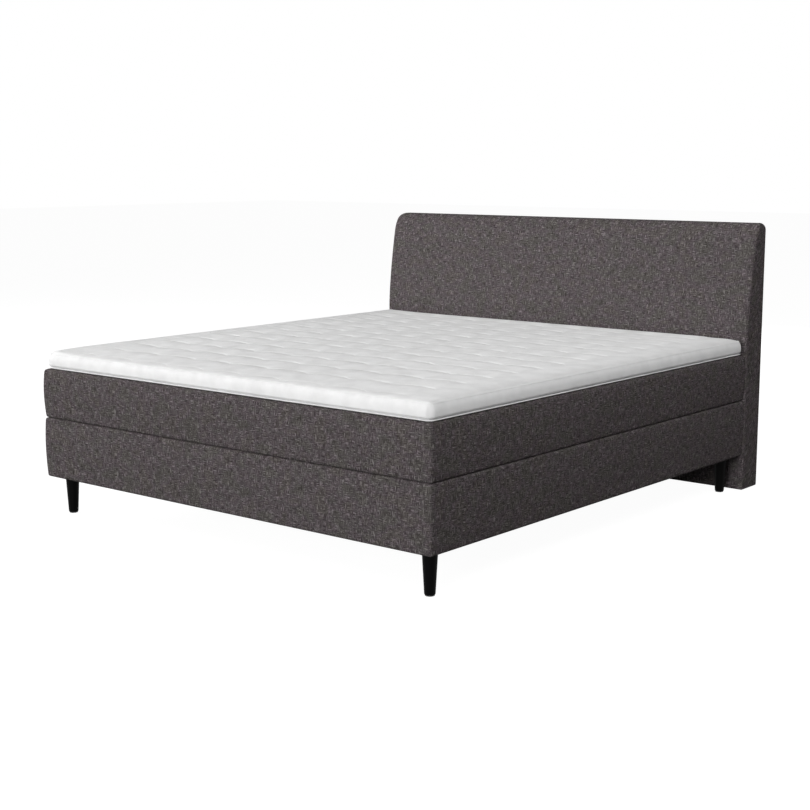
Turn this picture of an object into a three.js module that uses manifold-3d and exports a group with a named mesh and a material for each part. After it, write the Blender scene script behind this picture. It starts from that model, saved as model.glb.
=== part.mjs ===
// Box spring bed: an upholstered spring base on turned legs, a loose spring mattress in the same cloth,
// a quilted topper, and a padded headboard that stands on the floor and is bolted to the base.
// Millimetres, +Z up, +Y towards the headboard, origin on the floor at the middle of the bed's outline.
import * as THREE from "three";
import { mergeVertices } from "three/addons/utils/BufferGeometryUtils.js";
import Module from "manifold-3d";

const wasm = await Module();
wasm.setup();

// The bed as a whole
const bedWidth = 1864; // across the mattress at its fullest
const bedLength = 2024; // mattress, foot face to headboard
const fit = 0.3; // gap between two faces that rest on each other
const cutOverrun = 5; // how far a cut runs past the face that it leaves
const planRadius = 16; // upright corners of the base and mattress, seen from above
const leastRadius = 3; // the same corners on the inside of a cover
const cornerSteps = 4;
const weld = 1e-3; // corners nearer than this are one

// Upholstery of the base and mattress
const coverDepth = 15; // cloth and wadding, from the fullest line in to the frame
const hemWidth = 45; // how far the cloth turns in over the top and under the bottom
const bottomHem = 2;
const wallSteps = 6;
const arcSteps = 3;

// Base
const baseHeight = 227;
const baseInset = 0.5; // the base's sides and foot stand back from the mattress's
const baseFullestShare = 0.6; // height of the fullest line
const baseLowerTaper = 6;
const baseUpperTaper = 4.5;
const baseLowerRadius = 10;
const baseUpperRadius = 6;
const baseTopHem = 3;
const railThickness = 24;
const railHeight = 96;
const beamWidth = 45;
const slatWidth = 95;
const slatThickness = 18;
const slatEdgeRadius = 5;
const slatCount = 6;
const slatEndMargin = 150; // end rail to the first slat's middle
const blockSize = 66;
const basePadHeight = 30;
const baseSpringPitch = 84;
const baseBorderWidth = 55;

// Legs
const legHeight = 143; // floor to the underside of the base
const legTopDiameter = 51;
const legFootDiameter = 36;
const legChamfer = 2;
const legSideInset = 64; // leg's middle from the base's side
const legFootEndInset = 74; // leg's middle from the base's foot face
const legHeadEndInset = 64;
const legSides = 24;
const studDiameter = 8;
const studLength = 45;
const boreGap = 0.6; // all round a stud, pin or bolt in its hole
const glideDiameter = 32;
const glideHeight = 4;
const glideChamfer = 1.2;
const glidePinDiameter = 5;
const glidePinLength = 16;

// Middle legs, with a screw foot
const middleLegDiameter = 38;
const middleLegFlangeDiameter = 76;
const middleLegFlangeHeight = 4;
const middleLegEndGap = 22; // floor to the lower end of its tube
const middleLegSpacing = 720;
const screwFootDiameter = 44;
const screwFootHeight = 8;
const screwFootChamfer = 2;
const screwDiameter = 10;
const screwLength = 45;
const screwTravel = 12;

// Mattress
const mattressHeight = 184.5;
const mattressFullestShare = 0.53;
const mattressLowerTaper = 7;
const mattressUpperTaper = 6;
const mattressLowerRadius = 6;
const mattressUpperRadius = 13;
const mattressTopHem = 8;
const mattressSpringHeight = 137;
const mattressSpringPitch = 66;
const mattressBorderWidth = 70;

// Topper
const topperInset = 12; // topper's side behind the mattress's fullest line
const topperHeadGap = 5;
const topperHeight = 57.5; // its border
const topperRadius = 20;
const topperWall = 14; // fullest line to the core
const topperLean = 9; // how far the border has leant in at its piping
const topperLeanPower = 1.7;
const topperFullest = 20; // height of its fullest line
const topperSeamInset = 5.5; // where the border is sewn to the lip
const topperLip = 3.5;
const topperLipInset = 2.5;
const topperHem = 2;
const topperHemWidth = 26;
const pipingRadius = 2.5;
const topperCoreHeight = 44;

// Quilting of the topper: sewn channels that run across the bed in rows of arches
const quiltRows = 14;
const quiltArches = 9;
const quiltArchSteps = 4;
const quiltArchRise = 32;
const quiltFootMargin = 62;
const quiltHeadMargin = 115;
const quiltLeftMargin = 47.5;
const quiltRightMargin = 127.5;
const quiltTightening = 0.08; // how much closer than on average the rows lie at the head
const quiltSoftEdge = 34;
const quiltCrest = 9; // padding above the piping between two channels
const quiltPlain = 7; // above the piping on the plain margin
const quiltChannel = 2; // bottom of a channel above the piping
const quiltShoulderShare = 0.34; // channel to the edge of the flat crest, of a row's pitch

// Headboard
const headboardOverhang = 2; // headboard's side beyond the mattress's
const headboardWidth = bedWidth + 2 * headboardOverhang;
const headboardHeight = 1076;
const headboardDepth = 128;
const headboardClearance = 3; // floor to its underside
const headboardCurveStart = 650; // above this height the front leans back
const headboardLean = 60; // how far the front has leant back at the top
const headboardLeanPower = 1.5;
const headboardNoseHeight = 80; // front rounding under the top edge
const headboardNoseDepth = 48;
const headboardCornerRadius = 40;
const headboardEdgeRadius = 15; // front upright edges
const headboardBottomRadius = 6;
const headboardCurveSteps = 6;
const headboardNoseSteps = 6;
const headboardEdgeSteps = 4;
const headboardCloth = 2.5;
const headboardHem = 28;
const headboardFoam = 16;
const headboardSideFoam = 12;
const headboardTopFoam = 20;
const headboardPanel = 4;
const gableThickness = 22;
const headboardRailThickness = 22;
const headboardRailHeight = 80;
const boltRailThickness = 28;
const boltRailHeight = 110;
const boltHeight = 198; // above the floor
const boltSideInset = 300; // bolt's middle from the mattress's side
const boltDiameter = 8;
const boltHeadDiameter = 15;
const boltHeadHeight = 5.5;
const boltWasherDiameter = 24;
const boltWasherHeight = 2;
const headboardGlideDiameter = 26;
const headboardGlidePin = 12;

// Places worked out from the sizes above
const mattressPlan = { width: bedWidth, near: 0, far: bedLength, cornerRadius: planRadius };
const basePlan = {
  width: bedWidth - 2 * baseInset,
  near: baseInset,
  far: bedLength,
  cornerRadius: planRadius,
};
const topperPlan = {
  width: bedWidth - 2 * topperInset,
  near: topperInset,
  far: bedLength - topperHeadGap,
  cornerRadius: topperRadius,
};
const baseTop = legHeight + baseHeight;
const mattressBottom = baseTop + fit;
const topperBottom = mattressBottom + mattressHeight + fit;
const headboardFront = bedLength + fit;
const overallLength = headboardFront + headboardDepth;
const boardInset = coverDepth + fit; // frame and springs behind the fullest line

const finishes = {
  upholstery: { color: 0x5b5654, roughness: 0.95, metalness: 0 },
  ticking: { color: 0xf0efed, roughness: 0.9, metalness: 0 },
  lining: { color: 0x2c2b2b, roughness: 0.95, metalness: 0 },
  foam: { color: 0xe6dfc8, roughness: 0.95, metalness: 0 },
  felt: { color: 0xb9b4a8, roughness: 0.95, metalness: 0 },
  pockets: { color: 0xf3f3f0, roughness: 0.85, metalness: 0 },
  pine: { color: 0xd9b27c, roughness: 0.7, metalness: 0 },
  chipboard: { color: 0xb8915f, roughness: 0.75, metalness: 0 },
  blackLacquer: { color: 0x0b0b0c, roughness: 0.35, metalness: 0 },
  blackSteel: { color: 0x131314, roughness: 0.45, metalness: 0.2 },
  blackPlastic: { color: 0x151516, roughness: 0.5, metalness: 0 },
  zincSteel: { color: 0xa9acb0, roughness: 0.35, metalness: 0.9 },
};

/** One named mesh with its own material, at a place in its group. */
function piece(name, finish, geometry, x = 0, y = 0, z = 0) {
  const mesh = new THREE.Mesh(geometry, new THREE.MeshStandardMaterial(finishes[finish]));
  mesh.name = name;
  mesh.position.set(x, y, z);
  return mesh;
}

/** The numbers 0 to count - 1. */
const range = (count) => Array.from({ length: count }, (_, i) => i);

/** Geometry from corner points, three for each face, seen anticlockwise from outside. */
function fromFaces(corners) {
  const geometry = new THREE.BufferGeometry();
  geometry.setAttribute("position", new THREE.Float32BufferAttribute(corners.flat(), 3));
  return geometry;
}

/** A plan's outline, anticlockwise from above, drawn in by inset all round. */
function planOutline(plan, inset) {
  const radius = Math.max(plan.cornerRadius - inset, leastRadius);
  const halfX = plan.width / 2 - inset - radius;
  const nearY = plan.near + inset + radius;
  const farY = plan.far - inset - radius;
  const corners = [
    [halfX, nearY],
    [halfX, farY],
    [-halfX, farY],
    [-halfX, nearY],
  ];
  return corners.flatMap(([x, y], quarter) =>
    range(cornerSteps + 1).map((step) => {
      const angle = (Math.PI / 2) * (quarter - 1 + step / cornerSteps);
      return [x + radius * Math.cos(angle), y + radius * Math.sin(angle)];
    }),
  );
}

/** Skin over a stack of outlines with as many points each: joined end to start, or capped at both ends. */
function loft(outlines, joined) {
  const faces = [];
  const quads = joined ? outlines.length : outlines.length - 1;
  for (const level of range(quads)) {
    const lower = outlines[level];
    const upper = outlines[(level + 1) % outlines.length];
    lower.forEach((point, i) => {
      const next = (i + 1) % lower.length;
      faces.push(point, lower[next], upper[next], point, upper[next], upper[i]);
    });
  }
  if (!joined) {
    const bottom = outlines[0];
    const top = outlines[outlines.length - 1];
    for (let i = 1; i < bottom.length - 1; i += 1) {
      faces.push(bottom[0], bottom[i + 1], bottom[i], top[0], top[i], top[i + 1]);
    }
  }
  return fromFaces(faces);
}

/** A band that runs right round a plan, from a closed section of [inset, height] points. */
function bandAround(plan, section) {
  return loft(
    section.map(([inset, z]) => planOutline(plan, inset).map(([x, y]) => [x, y, z])),
    true,
  );
}

/** A flat sheet that fills a plan, drawn in by inset, with round holes of [x, y, diameter]. */
function sheetIn(plan, inset, thickness, holes = []) {
  const shape = new THREE.Shape(planOutline(plan, inset).map(([x, y]) => new THREE.Vector2(x, y)));
  for (const [x, y, diameter] of holes) {
    shape.holes.push(new THREE.Path().absarc(x, y, diameter / 2, 0, 2 * Math.PI, true));
  }
  return new THREE.ExtrudeGeometry(shape, { depth: thickness, bevelEnabled: false, curveSegments: 12 });
}

/** A turned piece, from [radius, height] points that start and end on its axis and run upwards outside. */
function turned(profile, sides) {
  const points = profile.map(([radius, z]) => new THREE.Vector2(radius, z));
  return new THREE.LatheGeometry(points, sides).rotateX(Math.PI / 2);
}

/** A profile of [y, z] points, anticlockwise seen from +X, carried across the bed by width from x = 0. */
function acrossBed(profile, width) {
  const shape = new THREE.Shape(profile.map(([y, z]) => new THREE.Vector2(y, z)));
  const turn = new THREE.Matrix4().makeBasis(
    new THREE.Vector3(0, 1, 0),
    new THREE.Vector3(0, 0, 1),
    new THREE.Vector3(1, 0, 0),
  );
  return new THREE.ExtrudeGeometry(shape, { depth: width, bevelEnabled: false }).applyMatrix4(turn);
}

/** A box between two opposite corners, in its group's frame. */
function boxBetween(low, high) {
  const size = high.map((value, i) => value - low[i]);
  return new THREE.BoxGeometry(...size).translate(...low.map((value, i) => value + size[i] / 2));
}

/** A round bar along the bed, for drilling. */
function drill(x, z, diameter, fromY, toY) {
  return new THREE.CylinderGeometry(diameter / 2, diameter / 2, toY - fromY, 12).translate(
    x,
    (fromY + toY) / 2,
    z,
  );
}

/** The same bar upright. */
function drillUp(x, y, diameter, fromZ, toZ) {
  return new THREE.CylinderGeometry(diameter / 2, diameter / 2, toZ - fromZ, 12)
    .rotateX(Math.PI / 2)
    .translate(x, y, (fromZ + toZ) / 2);
}

/** A closed geometry as a solid that can be cut. */
function solid(geometry) {
  const bare = geometry.index ? geometry.toNonIndexed() : geometry.clone();
  bare.deleteAttribute("normal");
  bare.deleteAttribute("uv");
  const merged = mergeVertices(bare, weld);
  return new wasm.Manifold(
    new wasm.Mesh({
      numProp: 3,
      vertProperties: new Float32Array(merged.attributes.position.array),
      triVerts: new Uint32Array(merged.index.array),
    }),
  );
}

/** A piece with others cut out of it. */
function cut(geometry, ...tools) {
  return asGeometry(tools.reduce((body, tool) => body.subtract(solid(tool)), solid(geometry)));
}

/** A solid's faces as a geometry. */
function asGeometry(body) {
  const mesh = body.getMesh();
  const made = new THREE.BufferGeometry();
  made.setAttribute("position", new THREE.BufferAttribute(new Float32Array(mesh.vertProperties), 3));
  made.setIndex(new THREE.BufferAttribute(new Uint32Array(mesh.triVerts), 1));
  return made;
}

/** Outer wall of an upholstered layer, as [inset, height] points from below: crowned, with round edges. */
function crownedWall({ height, fullestShare, lowerTaper, upperTaper, lowerRadius, upperRadius }) {
  const fullest = height * fullestShare;
  const crown = (z) =>
    z < fullest
      ? lowerTaper * ((fullest - z) / fullest) ** 2
      : upperTaper * ((z - fullest) / (height - fullest)) ** 2;
  const quarter = (step) => (Math.PI / 2) * (step / arcSteps);
  const lower = range(arcSteps).map((step) => {
    const z = lowerRadius * (1 - Math.cos(quarter(step)));
    return [crown(z) + lowerRadius * (1 - Math.sin(quarter(step))), z];
  });
  const wall = range(wallSteps + 1).map((step) => {
    const z = lowerRadius + (height - lowerRadius - upperRadius) * (step / wallSteps);
    return [crown(z), z];
  });
  const upper = range(arcSteps).map((step) => {
    const z = height - upperRadius * (1 - Math.sin(quarter(step + 1)));
    return [crown(z) + upperRadius * (1 - Math.cos(quarter(step + 1))), z];
  });
  return [...lower, ...wall, ...upper];
}

/** Cover round an upholstered layer: its outer wall, and hems that turn in over the top and the bottom. */
function sideCover(plan, wall, topHem) {
  const { height } = wall;
  return bandAround(plan, [
    [hemWidth, 0],
    ...crownedWall(wall),
    [hemWidth, height],
    [hemWidth, height - topHem],
    [coverDepth, height - topHem],
    [coverDepth, bottomHem],
    [hemWidth, bottomHem],
  ]);
}

/** Foam edge round a spring core, standing in a plan drawn in by inset. */
function foamBorder(plan, inset, width, height) {
  return bandAround(plan, [
    [inset + width, 0],
    [inset, 0],
    [inset, height],
    [inset + width, height],
  ]);
}

/** Pocketed springs side by side: a slab whose edge follows the round pockets. */
function pocketSprings(plan, inset, pitch, height) {
  const width = plan.width - 2 * inset;
  const length = plan.far - plan.near - 2 * inset;
  const across = Math.floor(width / pitch);
  const along = Math.floor(length / pitch);
  const pitchX = width / across;
  const pitchY = length / along;
  const steps = 3;
  const points = [];
  const sides = [
    [across, (k) => [-width / 2 + pitchX * (k + 0.5), plan.near + inset + pitchY / 2]],
    [along, (k) => [width / 2 - pitchX / 2, plan.near + inset + pitchY * (k + 0.5)]],
    [across, (k) => [width / 2 - pitchX * (k + 0.5), plan.far - inset - pitchY / 2]],
    [along, (k) => [-width / 2 + pitchX / 2, plan.far - inset - pitchY * (k + 0.5)]],
  ];
  sides.forEach(([count, centre], side) => {
    for (const k of range(count - 1)) {
      const [x, y] = centre(k);
      const first = k === 0 ? side * 0.5 + 0.5 : side * 0.5 + 1; // half turns
      const last = side * 0.5 + 2;
      const parts = k === 0 ? steps + 2 : steps;
      for (const step of range(parts)) {
        const angle = Math.PI * (first + (last - first) * (step / parts));
        const outX = (pitchX / 2) * Math.cos(angle);
        const outY = (pitchY / 2) * Math.sin(angle);
        points.push(new THREE.Vector2(x + outX, y + outY));
      }
    }
  });
  return new THREE.ExtrudeGeometry(new THREE.Shape(points), { depth: height, bevelEnabled: false });
}

// Base: heights above its own underside
const railBottom = bottomHem + fit;
const railTop = railBottom + railHeight;
const slatBottom = railTop - slatThickness;
const frameWidth = basePlan.width - 2 * boardInset;
const frameNear = basePlan.near + boardInset;
const frameFar = basePlan.far - boardInset;
const endRailHalf = frameWidth / 2 - railThickness - fit;
const legPlaces = [
  ["foot_left", -1, basePlan.near + legFootEndInset],
  ["foot_right", 1, basePlan.near + legFootEndInset],
  ["head_left", -1, basePlan.far - legHeadEndInset],
  ["head_right", 1, basePlan.far - legHeadEndInset],
].map(([name, side, y]) => [name, side * (basePlan.width / 2 - legSideInset), y]);
const middleLegPlaces = [
  ["foot", (basePlan.near + basePlan.far - middleLegSpacing) / 2],
  ["head", (basePlan.near + basePlan.far + middleLegSpacing) / 2],
];
const slatPlaces = range(slatCount).map((i) => {
  const first = frameNear + railThickness + slatEndMargin;
  const last = frameFar - railThickness - slatEndMargin;
  return first + (last - first) * (i / (slatCount - 1));
});
const boltX = bedWidth / 2 - boltSideInset;
const boltPlaces = [
  ["left", -boltX],
  ["right", boltX],
];
const boltHole = boltDiameter + 2 * boreGap;
const boltHoles = (fromY, toY, z) => boltPlaces.map(([, x]) => drill(x, z, boltHole, fromY, toY));

/** Side rail of the base from x: a housing in its top for each slat, its ends cut to the rounded plan. */
function sideRail(x) {
  const half = slatWidth / 2 + fit;
  const housings = [...slatPlaces].reverse().flatMap((y) => [
    [y + half, railTop],
    [y + half, slatBottom - fit],
    [y - half, slatBottom - fit],
    [y - half, railTop],
  ]);
  const ends = [
    [frameNear, railTop],
    [frameNear, railBottom],
    [frameFar, railBottom],
    [frameFar, railTop],
  ];
  const rail = acrossBed([...ends, ...housings], railThickness).translate(x, 0, 0);
  const plan = sheetIn(basePlan, boardInset, railHeight + 2 * cutOverrun);
  return asGeometry(solid(rail).intersect(solid(plan.translate(0, 0, railBottom - cutOverrun))));
}

/** Slat with rounded long edges, centred on its own place. */
function slat() {
  const flat = slatWidth / 2 - slatEdgeRadius;
  const steps = 2;
  const corners = [
    [flat, slatEdgeRadius, -1],
    [flat, slatThickness - slatEdgeRadius, 0],
    [-flat, slatThickness - slatEdgeRadius, 1],
    [-flat, slatEdgeRadius, 2],
  ];
  const profile = corners.flatMap(([y, z, quarter]) =>
    range(steps + 1).map((step) => {
      const angle = (Math.PI / 2) * (quarter + step / steps);
      return [y + slatEdgeRadius * Math.cos(angle), z + slatEdgeRadius * Math.sin(angle)];
    }),
  );
  return acrossBed(profile, frameWidth);
}

/** Corner block, centred on its own place and bored upright for the leg's stud. */
function cornerBlock(holeX, holeY) {
  const half = blockSize / 2;
  const shape = new THREE.Shape([
    new THREE.Vector2(-half, -half),
    new THREE.Vector2(half, -half),
    new THREE.Vector2(half, half),
    new THREE.Vector2(-half, half),
  ]);
  const radius = studDiameter / 2 + boreGap;
  shape.holes.push(new THREE.Path().absarc(holeX, holeY, radius, 0, 2 * Math.PI, true));
  const depth = slatBottom - railBottom - fit;
  return new THREE.ExtrudeGeometry(shape, { depth, bevelEnabled: false, curveSegments: 8 });
}

/** Tapered leg with its fixing stud on top and a pin hole for the glide below. Its foot end is at z = 0. */
function leg() {
  const length = legHeight - glideHeight - 2 * fit;
  const pinHole = glidePinDiameter / 2 + boreGap;
  const pinDepth = glidePinLength + 2 * fit;
  return turned(
    [
      [0, pinDepth],
      [pinHole, pinDepth],
      [pinHole, 0],
      [legFootDiameter / 2 - legChamfer, 0],
      [legFootDiameter / 2, legChamfer],
      [legTopDiameter / 2, length],
      [studDiameter / 2, length],
      [studDiameter / 2, length + studLength],
      [0, length + studLength],
    ],
    legSides,
  );
}

/** Glide: a disc on the floor with a pin that is driven into what stands on it. */
function glide(diameter, height, pinLength) {
  return turned(
    [
      [0, 0],
      [diameter / 2 - glideChamfer, 0],
      [diameter / 2, glideChamfer],
      [diameter / 2, height],
      [glidePinDiameter / 2, height],
      [glidePinDiameter / 2, height + pinLength],
      [0, height + pinLength],
    ],
    16,
  );
}

/** Middle leg: a tube under a round flange, bored from below for the screw foot. Heights above the floor. */
function middleLeg() {
  const top = legHeight - fit;
  const bore = screwDiameter / 2 + boreGap;
  const boreTop = screwFootHeight + screwLength + screwTravel + cutOverrun;
  return turned(
    [
      [0, boreTop],
      [bore, boreTop],
      [bore, middleLegEndGap],
      [middleLegDiameter / 2, middleLegEndGap],
      [middleLegDiameter / 2, top - middleLegFlangeHeight],
      [middleLegFlangeDiameter / 2, top - middleLegFlangeHeight],
      [middleLegFlangeDiameter / 2, top],
      [0, top],
    ],
    legSides,
  );
}

/** Screw foot of a middle leg: its spindle turns in the tube to raise or lower it. */
function screwFoot() {
  return turned(
    [
      [0, 0],
      [screwFootDiameter / 2 - screwFootChamfer, 0],
      [screwFootDiameter / 2, screwFootChamfer],
      [screwFootDiameter / 2, screwFootHeight - screwFootChamfer],
      [screwFootDiameter / 2 - screwFootChamfer, screwFootHeight],
      [screwDiameter / 2, screwFootHeight],
      [screwDiameter / 2, screwFootHeight + screwLength],
      [0, screwFootHeight + screwLength],
    ],
    legSides,
  );
}

/** The spring base: timber frame, slats, springs, pads and cover. */
function buildBase() {
  const base = new THREE.Group();
  base.position.z = legHeight;
  const railX = frameWidth / 2 - railThickness;
  const boltZ = boltHeight - legHeight;
  const headRailNear = frameFar - railThickness;
  base.add(
    piece("base_side_rail_left", "pine", sideRail(-frameWidth / 2)),
    piece("base_side_rail_right", "pine", sideRail(railX)),
    piece(
      "base_foot_rail",
      "pine",
      boxBetween([-endRailHalf, frameNear, railBottom], [endRailHalf, frameNear + railThickness, railTop]),
    ),
    piece(
      "base_head_rail",
      "pine",
      cut(
        boxBetween([-endRailHalf, headRailNear, railBottom], [endRailHalf, frameFar, railTop]),
        ...boltHoles(headRailNear - cutOverrun, frameFar + cutOverrun, boltZ),
      ),
    ),
    piece(
      "base_centre_beam",
      "pine",
      boxBetween(
        [-beamWidth / 2, frameNear + railThickness + fit, railBottom],
        [beamWidth / 2, headRailNear - fit, slatBottom - fit],
      ),
    ),
  );
  slatPlaces.forEach((y, i) => {
    base.add(piece(`base_slat_${i + 1}`, "pine", slat(), -frameWidth / 2, y, slatBottom));
  });

  const blockX = railX - fit - blockSize / 2;
  for (const [name, x, y] of legPlaces) {
    const atFoot = name.startsWith("foot");
    const blockY = atFoot
      ? frameNear + railThickness + fit + blockSize / 2
      : headRailNear - fit - blockSize / 2;
    const block = cornerBlock(x - Math.sign(x) * blockX, y - blockY);
    base.add(piece(`base_corner_block_${name}`, "pine", block, Math.sign(x) * blockX, blockY, railBottom));
  }

  const springHeight = baseHeight - baseTopHem - basePadHeight - railTop - 3 * fit;
  const springBottom = railTop + fit;
  const padBottom = springBottom + springHeight + fit;
  const wall = {
    height: baseHeight,
    fullestShare: baseFullestShare,
    lowerTaper: baseLowerTaper,
    upperTaper: baseUpperTaper,
    lowerRadius: baseLowerRadius,
    upperRadius: baseUpperRadius,
  };
  const studHole = studDiameter + 2 * boreGap;
  base.add(
    piece(
      "base_foam_border",
      "foam",
      foamBorder(basePlan, boardInset, baseBorderWidth, springHeight),
      0,
      0,
      springBottom,
    ),
    piece(
      "base_spring_core",
      "pockets",
      pocketSprings(basePlan, boardInset + baseBorderWidth + fit, baseSpringPitch, springHeight),
      0,
      0,
      springBottom,
    ),
    piece("base_comfort_pad", "felt", sheetIn(basePlan, boardInset, basePadHeight), 0, 0, padBottom),
    piece(
      "base_side_cover",
      "upholstery",
      cut(
        sideCover(basePlan, wall, baseTopHem),
        ...boltHoles(frameFar - fit, basePlan.far + cutOverrun, boltZ),
      ),
    ),
    piece(
      "base_top_cloth",
      "lining",
      sheetIn(basePlan, hemWidth + fit, baseTopHem),
      0,
      0,
      baseHeight - baseTopHem,
    ),
    piece(
      "base_dust_cover",
      "lining",
      sheetIn(
        basePlan,
        hemWidth + fit,
        bottomHem,
        legPlaces.map(([, x, y]) => [x, y, studHole]),
      ),
    ),
  );
  return base;
}

/** Four turned legs with glides, and two middle legs with screw feet. Heights above the floor. */
function buildLegs() {
  const legs = new THREE.Group();
  for (const [name, x, y] of legPlaces) {
    legs.add(
      piece(`leg_${name}`, "blackLacquer", leg(), x, y, glideHeight + fit),
      piece(`leg_glide_${name}`, "blackPlastic", glide(glideDiameter, glideHeight, glidePinLength), x, y),
    );
  }
  for (const [name, y] of middleLegPlaces) {
    legs.add(
      piece(`middle_leg_${name}`, "blackSteel", middleLeg(), 0, y),
      piece(`screw_foot_${name}`, "blackPlastic", screwFoot(), 0, y),
    );
  }
  return legs;
}

/** The loose mattress on the base. */
function buildMattress() {
  const mattress = new THREE.Group();
  mattress.position.z = mattressBottom;
  const wall = {
    height: mattressHeight,
    fullestShare: mattressFullestShare,
    lowerTaper: mattressLowerTaper,
    upperTaper: mattressUpperTaper,
    lowerRadius: mattressLowerRadius,
    upperRadius: mattressUpperRadius,
  };
  const springBottom = bottomHem + fit;
  const foamBottom = springBottom + mattressSpringHeight + fit;
  const topBottom = mattressHeight - mattressTopHem;
  mattress.add(
    piece("mattress_bottom_cover", "lining", sheetIn(mattressPlan, hemWidth + fit, bottomHem)),
    piece(
      "mattress_foam_border",
      "foam",
      foamBorder(mattressPlan, boardInset, mattressBorderWidth, mattressSpringHeight),
      0,
      0,
      springBottom,
    ),
    piece(
      "mattress_spring_core",
      "pockets",
      pocketSprings(
        mattressPlan,
        boardInset + mattressBorderWidth + fit,
        mattressSpringPitch,
        mattressSpringHeight,
      ),
      0,
      0,
      springBottom,
    ),
    piece(
      "mattress_comfort_foam",
      "foam",
      sheetIn(mattressPlan, boardInset, topBottom - fit - foamBottom),
      0,
      0,
      foamBottom,
    ),
    piece("mattress_side_cover", "upholstery", sideCover(mattressPlan, wall, mattressTopHem)),
    piece(
      "mattress_top_cover",
      "ticking",
      sheetIn(mattressPlan, hemWidth + fit, mattressTopHem),
      0,
      0,
      topBottom,
    ),
  );
  return mattress;
}

/** Border of the topper: a lip under its seam, a wall that swells and leans in, and piping at the top. */
function topperBorder() {
  const seamHeight = topperLip + 1;
  const pipingBottom = topperHeight - 2 * pipingRadius;
  const wall = (z) =>
    z < topperFullest
      ? topperSeamInset * ((topperFullest - z) / (topperFullest - seamHeight)) ** 2
      : topperLean * ((z - topperFullest) / (pipingBottom - topperFullest)) ** topperLeanPower;
  const lowerSteps = 3;
  const upperSteps = 4;
  const lower = range(lowerSteps).map(
    (step) => seamHeight + (topperFullest - seamHeight) * (step / lowerSteps),
  );
  const upper = range(upperSteps + 1).map(
    (step) => topperFullest + (pipingBottom - topperFullest) * (step / upperSteps),
  );
  const pipingSteps = 4;
  const piping = range(pipingSteps).map((step) => {
    const angle = Math.PI * ((step + 1) / pipingSteps - 0.5);
    const out = pipingRadius * Math.cos(angle);
    return [topperLean + pipingRadius - out, topperHeight - pipingRadius + pipingRadius * Math.sin(angle)];
  });
  return bandAround(topperPlan, [
    [topperHemWidth, 0],
    [topperLipInset + topperLip / 2, 0],
    [topperLipInset, topperLip / 2],
    [topperLipInset + topperLip / 4, topperLip],
    ...[...lower, ...upper].map((z) => [wall(z), z]),
    ...piping,
    [topperWall, topperHeight - pipingRadius],
    [topperWall, topperHem],
    [topperHemWidth, topperHem],
  ]);
}

/** Faces between two rows of points that run the same way across, whatever their counts. */
function stitchRows(near, far) {
  const faces = [];
  let i = 0;
  let j = 0;
  while (i < near.length - 1 || j < far.length - 1) {
    const nearEnds = i === near.length - 1;
    const farEnds = j === far.length - 1;
    const nearTurn = farEnds || (!nearEnds && near[i][0] + near[i + 1][0] <= far[j][0] + far[j + 1][0]);
    if (nearTurn) {
      faces.push(near[i], near[i + 1], far[j]);
      i += 1;
    } else {
      faces.push(near[i], far[j + 1], far[j]);
      j += 1;
    }
  }
  return faces;
}

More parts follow.
